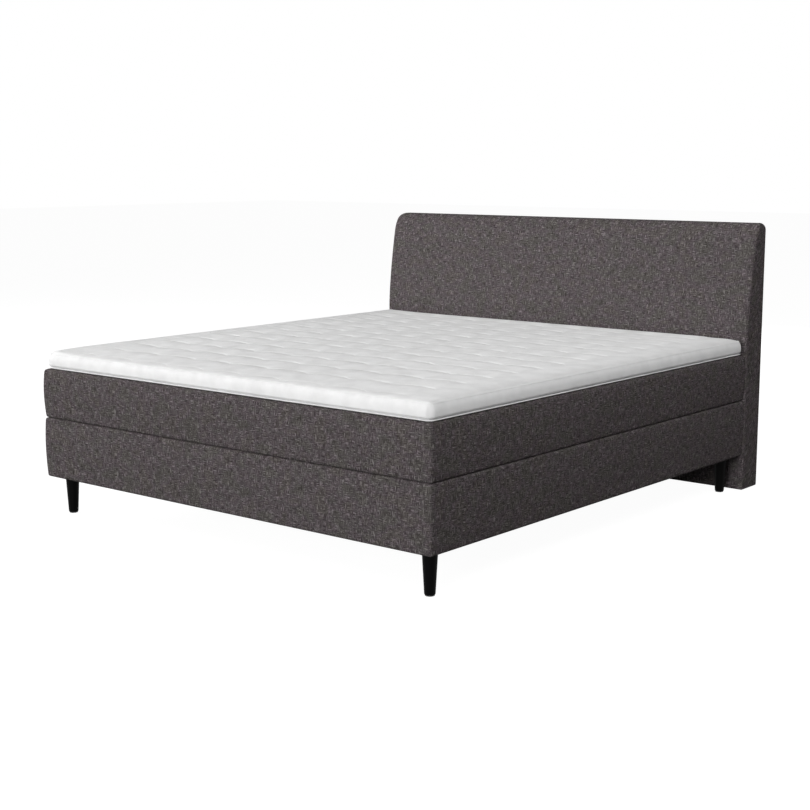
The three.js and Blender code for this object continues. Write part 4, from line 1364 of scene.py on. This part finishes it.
@dataclass
class Quilting:
    """Channels sewn across the topper in rows of arches, and the padding between them.

    A pair is a height and how far it reaches, and foot_slope is a reach and a power.
    """

    rows: int = 14
    arches: int = 9
    rise: float = 32 * MM
    foot_margin: float = 62 * MM
    head_margin: float = 115 * MM
    left_margin: float = 47.5 * MM
    right_margin: float = 127.5 * MM
    tightening: float = 0.08
    bow: float = 11 * MM
    foot_row_shift: float = 22 * MM
    row_scatter: float = 1.5
    arch_scatter: float = 5
    valley_share: float = 0.16
    valley_width: float = 0.22
    arch_mean: float = 0.62
    lag: float = 0.1
    end_fade: float = 45 * MM
    crest: float = 10 * MM
    plain: float = 7.5 * MM
    channel: float = 4.2 * MM
    soft_edges: tuple[float, float, float, float] = (14 * MM, 70 * MM, 220 * MM, 18 * MM)
    edge_rise: Pair = (2.4 * MM, 12 * MM)
    edge_dip: Pair = (3.4 * MM, 3 * MM)
    left_lift: Pair = (10.5 * MM, 60 * MM)
    lift_start: float = 6 * MM
    foot_slope: Pair = (58 * MM, 2.2)
    head_slope: float = 85 * MM
    step_slope: float = 12 * MM
    step_share: float = 0.3
    crease: float = 0.3 * MM
    crease_width: float = 4 * MM
    pucker: float = 0.12 * MM
    seam_inset: float = 12 * MM
    seam_step: float = 4 * MM
    seam_rise: float = 0.25 * MM
    seed: int = 11
    steps: tuple[float, ...] = (0.0, 0.012, 0.026, 0.045, 0.07, 0.105, 0.15, 0.21, 0.29, 0.39, 0.5)
    places: list[float] = field(init=False)
    shifts: list[float] = field(init=False)
    left: float = field(init=False)
    right: float = field(init=False)
    arch_pitch: float = field(init=False)

    def lay_out(self, block: Block) -> None:
        """Sets each row's place along the bed, and how far its arches lie aside.

        Args:
            block: Box of the topper's border.
        """
        chance = random.Random(self.seed)
        first = block.low.y + self.foot_margin
        span = block.high.y - self.head_margin - first
        shares = [row / (self.rows - 1) for row in range(self.rows)]
        tightened = [share + self.tightening * share * (1 - share) for share in shares]
        spread, aside = self.row_scatter, self.arch_scatter
        self.places = [first + span * share + chance.uniform(-spread, spread) * MM for share in tightened]
        self.shifts = [chance.uniform(-aside, aside) * MM for _ in range(self.rows)]
        self.shifts[0] += self.foot_row_shift
        self.left, self.right = block.low.x + self.left_margin, block.high.x - self.right_margin
        self.arch_pitch = (self.right - self.left) / self.arches

    def phase(self, x: np.ndarray, row: int) -> np.ndarray:
        """Returns the arch number at places across, counted from the left end of a row."""
        return (x - self.left - self.shifts[row]) / self.arch_pitch

    def sewn(self, x: np.ndarray) -> np.ndarray:
        """Works out where the rows are sewn.

        Args:
            x: Places across.

        Returns:
            1 where they are, falling to 0 towards their ends.
        """
        start = np.clip((x - self.left) / self.end_fade, 0, 1)
        end = np.clip((self.right - x) / self.end_fade, 0, 1)
        return start * end * (3 - 2 * start) * (3 - 2 * end) * start * end

    def line(self, x: np.ndarray, row: int) -> np.ndarray:
        """Draws a row: a bow of arches with round tops and narrow valleys.

        Args:
            x: Places across.
            row: Number of the row, from the foot.

        Returns:
            Its place along the bed at each place across.
        """
        arch = np.abs(np.sin(math.pi * self.phase(x, row)))
        valley = self.valley_share * np.exp(-((arch / self.valley_width) ** 2))
        rounded = arch - valley + self.valley_share
        inside = np.clip((x - self.left) / self.arch_pitch, 0, self.arches)
        sewn = np.where((inside > 0) & (inside < self.arches), 1.0, 0.0)
        share = inside / self.arches
        bow = self.bow * 4 * share * (1 - share) * math.sin(math.pi * (row + 0.5) / self.rows)
        return self.places[row] + bow + sewn * self.rise * (rounded - self.arch_mean)

    def depth(self, x: np.ndarray, row: int) -> np.ndarray:
        """Returns how deep a row's channel is, as a share: deepest past the arches' tops."""
        return self.sewn(x) * (0.5 + 0.5 * np.sin(math.pi * (self.phase(x, row) - self.lag)) ** 2)

    def rim(self, away: np.ndarray, from_left: np.ndarray) -> np.ndarray:
        """Works out the top's height above its border: up from a crease, and higher at the left edge.

        Args:
            away: Distance from the nearest edge.
            from_left: Distance from the left edge.

        Returns:
            The height.
        """
        (rise, reach), (dip, fall), (most, fade) = self.edge_rise, self.edge_dip, self.left_lift
        rounded = rise * (1 - np.exp(-away / reach)) - dip * np.exp(-away / fall)
        return rounded + most * np.exp(-from_left / fade) * (1 - np.exp(-away / self.lift_start))

    def foot_side(self, gap: np.ndarray) -> np.ndarray:
        """Returns the share of a channel's depth on a seam's foot side: steep at the seam, then eased."""
        reach, power = self.foot_slope
        return (1 - np.clip(gap / reach, 0, 1)) ** power

    def head_side(self, gap: np.ndarray) -> np.ndarray:
        """Works out a channel's form on a seam's head side: a long fall that ends in a step.

        Args:
            gap: Distance from the seam.

        Returns:
            The share of the channel's depth.
        """
        fall = 1 - np.clip(gap / self.head_slope, 0, 1)
        step = (1 - np.clip(gap / self.step_slope, 0, 1)) ** 1.3
        return (1 - self.step_share) * fall + self.step_share * step


@dataclass
class Topper:
    """The thin topper: a border with a lip and a puckered seam, and a quilted top."""

    plan_radius: float = 24 * MM
    wall: float = 6 * MM
    lean: float = 8 * MM
    lean_power: float = 2.2
    tuck_power: float = 6.0
    fullest: float = 27 * MM
    seam_height: float = 7.6 * MM
    seam_inset: float = 10 * MM
    seam_groove: float = 1.5 * MM
    stitch_lift: float = 1.2 * MM
    lip: float = 1.7 * MM
    lip_inset: float = 2 * MM
    lip_gap: float = 3 * MM
    undercut: float = 14 * MM
    hem: float = 26 * MM
    hem_height: float = 2 * MM
    top_round: Pair = (3.5 * MM, 3 * MM)
    seam_pucker: float = 0.35 * MM
    top_pucker: float = 0.12 * MM
    waviness: float = 0.3 * MM
    column_step: float = 10 * MM
    rim_columns: tuple[float, ...] = (1 * MM, 2.2 * MM, 3.6 * MM, 5.4 * MM, 7.5 * MM)
    quilting: Quilting = field(default_factory=Quilting)
    filling: tuple[FoamEdge | PocketCore | Layer, ...] = (
        Layer("topper_foam", "topper_core", FOAM, "foam", 12 * MM, 5 * MM, 1.0),
        Layer(
            "topper_underside", "topper_bottom_cloth", TICKING, "ticking", 8 * MM, rests_on="topper_foam"
        ),
    )

    def build(self) -> None:
        """Builds the topper."""
        block = Block.of("topper_border")
        self.quilting.lay_out(block)
        outline = Outline.round_block(block, self.plan_radius, 15 * MM)
        piece = make_object("topper_edge", [self.border(outline, block)], TICKING)
        settle(piece, Body.TOPPER, "ticking", "topper_border")
        stitch_height = block.low.z + self.seam_height + self.stitch_lift
        seam = outline.level(self.seam_inset - 0.5 * MM, stitch_height)
        piece = STITCHES.lay("topper_edge_stitches", [seam], STITCH_SPACING)
        settle(piece, Body.TOPPER, "ticking")
        self.build_top(block)
        for part in self.filling:
            part.build(Body.TOPPER)

    def border(self, outline: Outline, block: Block) -> Grid:
        """Builds the border band: lip, puckered seam, and a wall that swells, leans in and rounds over.

        Args:
            outline: The topper's outline.
            block: Box of the border's node.

        Returns:
            The band.
        """
        top = block.size.z
        lip_middle = (self.lip_inset + self.lip, self.lip_gap + self.lip)
        lip = [[self.undercut, 0.0], [self.undercut - 1 * MM, self.lip_gap]]
        lip += fillet(lip_middle, self.lip, 250, 100, 6)
        deepest = self.seam_inset + self.seam_groove
        groove = [[deepest, self.lip_gap + 2 * self.lip + 0.2 * MM], [deepest, self.seam_height]]
        round_in, round_down = self.top_round
        heights = np.linspace(self.seam_height + 0.8 * MM, top - round_down - 1 * MM, 22)
        below = np.maximum(self.fullest - heights, 0) / (self.fullest - self.seam_height)
        above = np.maximum(heights - self.fullest, 0) / (heights[-1] - self.fullest)
        swell = self.seam_inset * below**self.tuck_power + self.lean * above**self.lean_power
        wall = np.stack([swell, heights], axis=1)
        turns = np.radians(np.linspace(180, 60, 12))
        roll_in, roll_up = self.lean + round_in * (1 + np.cos(turns)), top - round_down * (1 - np.sin(turns))
        inner = self.lean + self.wall
        inside = [
            [inner, top - round_down],
            [inner, self.hem_height],
            [self.hem, self.hem_height],
            [self.hem, 0.0],
        ]
        section = np.concatenate([lip + groove, wall, np.stack([roll_in, roll_up], axis=1), inside])
        made = band(outline, section, block.low.z)
        inset, height = section.T
        along = way_round(outline.ring(0))[:-1]
        line = np.stack([along, along * 0, along * 0], axis=1)
        near_seam = np.exp(-np.abs(height - self.seam_height) / (7 * MM))
        near_top = np.exp(-np.abs(height - (top - 6 * MM)) / (5 * MM))
        puckers = (self.seam_pucker * near_seam + self.top_pucker * near_top)[:, None]
        puckers = puckers * drift(line, 16 * MM, 5)
        movable = (inset < self.lean + 0.5 * MM) & (height > 1 * MM)
        made.push((puckers + self.waviness * drift(line, 260 * MM, 8)) * movable[:, None])
        return made

    def build_top(self, block: Block) -> None:
        """Builds the quilted top and its stitches.

        Args:
            block: Box of the border's node.
        """
        inset = self.lean + self.wall
        low, high = np.array(block.low[:2]) + inset, np.array(block.high[:2]) - inset
        x, y, height, seams = self.surface(low, high, block.high.z)
        x, y = round_off(x, y, low, high, self.plan_radius - inset)
        points = np.stack([x, y, height], axis=-1)
        rim = np.concatenate([points[0], points[1:, -1], points[-1, -2::-1], points[-2::-1, 0]])
        rim_low = rim.copy()
        rim_low[:, 2] = Block.of("topper_quilted_top").low.z
        sides = np.stack([rim, rim_low])
        parts = [Grid(points, points[..., :2]), Grid(sides, sides[..., :2])]
        piece = make_object("topper_quilt", parts, TICKING)
        settle(piece, Body.TOPPER, "ticking", "topper_quilted_top")
        piece = STITCHES.lay("topper_quilt_stitches", seams, STITCH_SPACING, closed=False)
        settle(piece, Body.TOPPER, "ticking")

    def surface(self, low: np.ndarray, high: np.ndarray, edge: float) -> Quilt:
        """Works out the quilted surface.

        Args:
            low: Lowest corner of the top, seen from above.
            high: Highest corner.
            edge: Height of its edge.

        Returns:
            X, Y and height of each point by rows, and the seams' points.
        """
        quilt = self.quilting
        even = np.linspace(low[0], high[0], round((high[0] - low[0]) / self.column_step) + 1)
        near = np.array(self.rim_columns)
        columns = np.sort(np.concatenate([even, low[0] + near, high[0] - near]))
        numbers, plain = range(quilt.rows), np.zeros_like(columns)
        lines = [plain + low[1], *[quilt.line(columns, row) for row in numbers], plain + high[1]]
        deeps = [plain, *[quilt.depth(columns, row) for row in numbers], plain]
        shares = [*quilt.steps[:-1], *[1 - s for s in reversed(quilt.steps)]]
        rows, gaps, depths, head_sides = [], [], [], []
        for index, (before, after) in enumerate(zip(lines, lines[1:])):
            for share in shares[: -1 if index < quilt.rows else None]:
                nearer = share < 0.5
                rows.append(before + (after - before) * share)
                gaps.append((after - before) * (share if nearer else 1 - share))
                depths.append(deeps[index if nearer else index + 1])
                head_sides.append(nearer)
        y, gap, depth = np.stack(rows), np.stack(gaps), np.stack(depths)
        x = np.broadcast_to(columns, y.shape).copy()
        wide = np.where(np.array(head_sides)[:, None], quilt.head_side(gap), quilt.foot_side(gap))
        steep = np.exp(-gap / quilt.crease_width)
        hollow = depth * ((quilt.crest - quilt.channel) * wide + quilt.crease * steep)
        crown = quilt.plain + (quilt.crest - quilt.plain) * quilt.sewn(x)
        sides = [x - low[0], high[0] - x, y - low[1], high[1] - y]
        inward = [np.clip(side / reach, 0, 1) for side, reach in zip(sides, quilt.soft_edges)]
        soft = np.sin(math.pi / 2 * np.minimum.reduce(inward)) ** 0.9
        where = np.stack([x, y, np.zeros_like(x)], axis=-1)
        stretched = where * np.array([1.0, 0.45, 1.0])
        folds = drift(stretched, 17 * MM, 21) * np.exp(-gap / (13 * MM)) * depth * quilt.pucker
        waves = 0.35 * MM * drift(where, 190 * MM, 4) + 0.05 * MM * drift(where, 38 * MM, 6)
        rim = quilt.rim(np.minimum.reduce(sides), sides[0])
        height = edge + rim + soft * (crown - quilt.edge_rise[0] - hollow + waves + folds)
        across = np.arange(quilt.left + quilt.seam_inset, quilt.right - quilt.seam_inset, quilt.seam_step)
        seams = []
        for row in numbers:
            seam_height = height[(len(shares) - 1) * (row + 1)]
            z = np.interp(across, columns, seam_height) + quilt.seam_rise
            seams.append(np.stack([across, quilt.line(across, row), z], axis=1))
        return x, y, height, seams


def round_off(
    x: np.ndarray, y: np.ndarray, low: np.ndarray, high: np.ndarray, radius: float
) -> tuple[np.ndarray, np.ndarray]:
    """Moves the points in a rectangle's corners inwards, so that its corners become round.

    Args:
        x: Places across.
        y: Places along.
        low: The rectangle's lowest corner.
        high: Its highest corner.
        radius: Radius of its corners.

    Returns:
        The moved places across and along.
    """
    middle = (low + high) / 2
    reach_x, reach_y = (high - low) / 2 - radius
    dx = np.maximum(np.abs(x - middle[0]) - reach_x, 0)
    dy = np.maximum(np.abs(y - middle[1]) - reach_y, 0)
    corner = (dx > 0) & (dy > 0)
    scale = np.maximum(dx, dy) / np.maximum(np.hypot(dx, dy), 1e-12)
    moved_x = middle[0] + np.sign(x - middle[0]) * (reach_x + dx * scale)
    moved_y = middle[1] + np.sign(y - middle[1]) * (reach_y + dy * scale)
    return np.where(corner, moved_x, x), np.where(corner, moved_y, y)


@dataclass
class Headboard:
    """The padded headboard: it leans back towards its top and stands on the floor."""

    curve_start: float = 650 * MM
    lean: float = 60 * MM
    lean_power: float = 1.5
    nose_height: float = 80 * MM
    nose_depth: float = 48 * MM
    top_radius: float = 28 * MM
    bottom_radius: float = 6 * MM
    edge_radius: float = 9 * MM
    back_radius: float = 3 * MM
    cloth: float = 2.5 * MM
    foam_gap: float = 0.4 * MM
    foam_depth: float = 14 * MM
    hem: float = 28 * MM
    bulge: float = 0.8 * MM
    front_rows: tuple[int, ...] = (4, 10, 20, 32, 46, 62, 80, 100, 125)
    staple_step: float = 42 * MM
    staple_inset: float = 9 * MM
    block: Block = field(init=False)
    outline: Outline = field(init=False)

    def build(self) -> None:
        """Builds and dresses the headboard."""
        self.block = Block.of("headboard_cover")
        low, high = self.block.low, self.block.high
        radii = (self.top_radius, self.bottom_radius, self.bottom_radius, self.top_radius)
        self.outline = Outline((low.x, low.z), (high.x, high.z), radii, 20 * MM)
        skins = self.hollow(self.shell(0.0, self.bulge), self.shell(self.cloth))
        piece = make_object("headboard_upholstery", skins, UPHOLSTERY)
        settle(piece, Body.BASE, "upholstery", "headboard_cover")
        skins = self.hollow(self.shell(self.cloth + self.foam_gap), self.shell(self.cloth + self.foam_depth))
        piece = make_object("headboard_padding", skins, FOAM)
        settle(piece, Body.BASE, "foam", "headboard_foam")
        self.build_back()
        dress(CHIPBOARD, "headboard_gable_left", "headboard_gable_right", "headboard_gable_centre")
        dress(CHIPBOARD, "headboard_front_panel")
        dress(PINE[Grain.ACROSS], "headboard_bottom_rail", "headboard_top_rail", "headboard_bolt_rail")
        dress(ZINC, "headboard_bolt_left", "headboard_bolt_right")
        for side in ("left", "right"):
            build_glide(f"headboard_glide_{side}", f"headboard_floor_glide_{side}")

    def set_back(self, z: np.ndarray) -> np.ndarray:
        """Works out how far the front stands back: upright, then leaning, then round to the top.

        Args:
            z: Heights.

        Returns:
            The distance at each height.
        """
        top = self.block.high.z
        lean = np.maximum(z - self.curve_start, 0) / (top - self.curve_start)
        over = np.clip((z - (top - self.nose_height)) / self.nose_height, 0, 1)
        return self.lean * lean**self.lean_power + self.nose_depth * (1 - np.sqrt(1 - over**2))

    def section(self, inset: float) -> np.ndarray:
        """Lists the section from the hem on the back, round the edge and in over the front.

        Args:
            inset: How far the skin lies inside the outer one.

        Returns:
            Rows of inset, and depth from the front.
        """
        depth = self.block.size.y
        r, b = self.edge_radius, self.back_radius
        middle = self.block.size.z / 2 - 3 * MM
        hem = [[i, depth] for i in np.linspace(self.hem, b, 4)[:-1]]
        side = [[0.0, y] for y in np.linspace(depth - b, r, 8)[1:-1]]
        front = [[r + i * MM, 0.0] for i in self.front_rows]
        front += [[i, 0.0] for i in np.linspace(front[-1][0], middle, 18)[1:]]
        back_edge, front_edge = fillet((b, depth - b), b, 90, 180, 3), fillet((r, r), r, 180, 270, 8)
        rows = np.array(hem + back_edge + side + front_edge + front)
        rows[:, 0] = np.maximum(rows[:, 0], 0) * (1 - inset / middle) + inset
        rows[:, 1] = rows[:, 1] * (1 - 2 * inset / depth) + inset
        return rows

    def shell(self, inset: float, bulge: float = 0.0) -> Grid:
        """Builds one skin of the headboard.

        Args:
            inset: How far it lies inside the outer form.
            bulge: Unevenness of the cloth.

        Returns:
            The skin, from the hem's edge in to the middle of the front.
        """
        section = self.section(inset)
        depth = self.block.size.y
        points = np.stack([self.outline.upright(away, self.block.low.y + y) for away, y in section])
        back = self.set_back(np.clip(points[..., 2], 0, self.block.high.z))
        points[..., 1] += back * (1 - section[:, 1] / depth)[:, None]
        if bulge:
            waves = drift(points, 260 * MM, 33) * 0.7 + drift(points, 80 * MM, 34) * 0.3
            facing = np.clip(1 - section[:, 1] / self.edge_radius, 0, 1)[:, None]
            points[..., 1] -= bulge * waves * facing
        return Grid(points, self.unfold(section), False, True)

    def unfold(self, section: np.ndarray) -> np.ndarray:
        """Works out the cloth coordinates: flat over the front, and carried on straight round the edges.

        Args:
            section: The skin's section.

        Returns:
            The coordinates by rows, with one more column.
        """
        front = self.outline.ring(self.edge_radius)
        outward = front - self.outline.ring(self.edge_radius + 1 * MM)
        outward /= np.maximum(np.linalg.norm(outward, axis=1, keepdims=True), 1e-12)
        steps = np.linalg.norm(np.diff(section, axis=0), axis=1)
        turned = int(np.argmax(section[:, 1] <= section[-1, 1] + MERGE))
        rows = [front + outward * steps[index:turned].sum() for index in range(turned)]
        flat = np.stack(rows + [self.outline.ring(away) for away in section[turned:, 0]])
        return np.concatenate([flat, flat[:, :1]], axis=1)

    def hollow(self, outer: Grid, inner: Grid) -> list[Grid]:
        """Returns two skins, the strips that close their fronts, and the hem's edge between them."""
        sides = np.stack([outer.points[0], inner.points[0]]), np.stack([outer.cloth[0], inner.cloth[0]])
        return [outer, self.capped(outer), inner, self.capped(inner), Grid(*sides, False, True)]

    def capped(self, skin: Grid) -> Grid:
        """Builds the strip that closes the middle of a skin's front.

        Args:
            skin: The skin.

        Returns:
            The strip.
        """
        last, flat = skin.points[-1], skin.cloth[-1].copy()
        line = last.copy()
        line[:, 1:] = last.mean(axis=0)[1:]
        flat[:, 1] = flat[:, 1].mean()
        return Grid(np.stack([last, line]), np.stack([skin.cloth[-1], flat]), False, True)

    def build_back(self) -> None:
        """Builds the back lining and its staples."""
        panel = Block.of("headboard_back_cloth")
        outline = Outline((panel.low.x, panel.low.z), (panel.high.x, panel.high.z), (5 * MM,) * 4, 40 * MM)
        edge = np.stack([outline.upright(0, y) for y in (panel.low.y, panel.high.y)])
        parts = [Grid(edge, outline.cloth((0, panel.size.y)), False, True)]
        piece = make_object("headboard_back_lining", parts, LINING)
        settle(piece, Body.BASE, "lining", "headboard_back_cloth")
        path = outline.upright(self.staple_inset, panel.high.y)
        settle(STAPLES.lay("headboard_staples", [path], self.staple_step), Body.BASE, "zinc_steel")


@dataclass(frozen=True)
class Lamp:
    """A large soft lamp that looks at a point of the bed."""

    name: str
    place: Triple
    size: Pair
    watts: float
    target: Triple = (0.0, 0.0, 0.45)

    def hang(self) -> None:
        """Hangs the lamp."""
        light = bpy.data.lights.new(self.name, "AREA")
        light.shape = "RECTANGLE"
        light.size, light.size_y = self.size
        light.energy = self.watts
        lamp = put(self.name, light)
        lamp.location = self.place
        lamp.rotation_euler = (Vector(self.target) - Vector(self.place)).to_track_quat("-Z", "Y").to_euler()


@dataclass
class Studio:
    """Pale floor, white backdrop, soft lamps, and the camera where the photograph was taken."""

    sky: float = 0.09
    floor_glow: float = 0.965
    floor_bounce: str = "#909090"
    floor_shade: str = "#646464"
    floor_half: float = 30.0
    lamps: tuple[Lamp, ...] = (
        Lamp("key_lamp", (-6.5, -2.2, 2.6), (2.5, 2.0), 475),
        Lamp("left_lamp", (-6.0, -5.0, 3.0), (3.4, 3.0), 145),
        Lamp("front_lamp", (2.2, -7.0, 1.8), (2.5, 2.0), 270),
        Lamp("right_lamp", (3.2, 0.0, 4.2), (2.5, 2.5), 104),
        Lamp("back_lamp", (-1.2, 6.5, 1.5), (2.5, 1.4), 150, (0.0, 1.0, 0.55)),
    )
    camera_place: Triple = (3.63509, -4.49307, 1.33385)
    camera_azimuth: float = 39.391
    camera_pitch: float = -9.4
    frame_pixels: float = 810.0
    focal_pixels: float = 1493.02
    sensor: float = 36.0

    def build(self) -> None:
        """Builds the studio."""
        self.build_world()
        self.build_floor()
        for lamp in self.lamps:
            lamp.hang()
        self.build_camera()

    @staticmethod
    def mix_by_view(tree: Tree, light: Node, shown: Node) -> Node:
        """Adds a mix of two shaders.

        Args:
            tree: Tree that gets it.
            light: Shader whose light falls on things.
            shown: Shader that the camera, a mirror or clear glass sees.

        Returns:
            The mix.
        """
        path = tree.add("ShaderNodeLightPath").outputs
        seen = path["Is Camera Ray"]
        for ray in ("Is Glossy Ray", "Is Transmission Ray"):
            seen = tree.add("ShaderNodeMath", {0: seen, 1: path[ray]}, operation="MAXIMUM")
        return tree.add("ShaderNodeMixShader", {0: seen, 1: light, 2: shown})

    def build_world(self) -> None:
        """Makes a white backdrop and a softer sky that lights the bed."""
        world = bpy.data.worlds.new("studio")
        bpy.context.scene.world = world
        world.use_nodes = True
        world.node_tree.nodes.clear()
        tree = Tree(world.node_tree)
        sky = tree.add("ShaderNodeBackground", {"Color": srgb("#ffffff"), "Strength": self.sky})
        backdrop = tree.add("ShaderNodeBackground", {"Color": srgb("#ffffff"), "Strength": 1.0})
        tree.add("ShaderNodeOutputWorld", {"Surface": self.mix_by_view(tree, sky, backdrop)})

    def build_floor(self) -> None:
        """Lays a pale floor that melts into the backdrop and keeps the bed's shadow."""
        half = self.floor_half
        mesh = bpy.data.meshes.new("floor")
        corners = [(-half, -half, 0), (half, -half, 0), (half, half, 0), (-half, half, 0)]
        mesh.from_pydata(corners, [], [(0, 1, 2, 3)])
        material = bpy.data.materials.new("painted_floor")
        material.use_nodes = True
        material.node_tree.nodes.clear()
        tree = Tree(material.node_tree)
        pale = tree.add("ShaderNodeBsdfDiffuse", {"Color": srgb(self.floor_bounce)})
        bright = tree.add("ShaderNodeBsdfDiffuse", {"Color": srgb(self.floor_shade)})
        glow = tree.add("ShaderNodeEmission", {"Color": srgb("#ffffff"), "Strength": self.floor_glow})
        shown = tree.add("ShaderNodeAddShader", {0: bright, 1: glow})
        tree.add("ShaderNodeOutputMaterial", {"Surface": self.mix_by_view(tree, pale, shown)})
        mesh.materials.append(material)
        put("floor", mesh)

    def build_camera(self) -> None:
        """Sets up the camera at the photograph's angle."""
        data = bpy.data.cameras.new("camera")
        data.sensor_fit = "HORIZONTAL"
        data.sensor_width = self.sensor
        data.lens = self.sensor * self.focal_pixels / self.frame_pixels
        camera = put("camera", data)
        camera.location = self.camera_place
        camera.rotation_euler = (math.radians(90 + self.camera_pitch), 0, math.radians(self.camera_azimuth))
        bpy.context.scene.camera = camera


def main() -> None:
    """Builds the studio and the bed, one sub-assembly after another."""
    logging.basicConfig(level=logging.INFO, format="%(name)s: %(message)s")
    bpy.context.scene.view_settings.view_transform = "Standard"
    for part in (Studio(), SpringBase(), Legs(), Mattress(), Topper(), Headboard()):
        part.build()


if __name__ == "__main__":
    main()
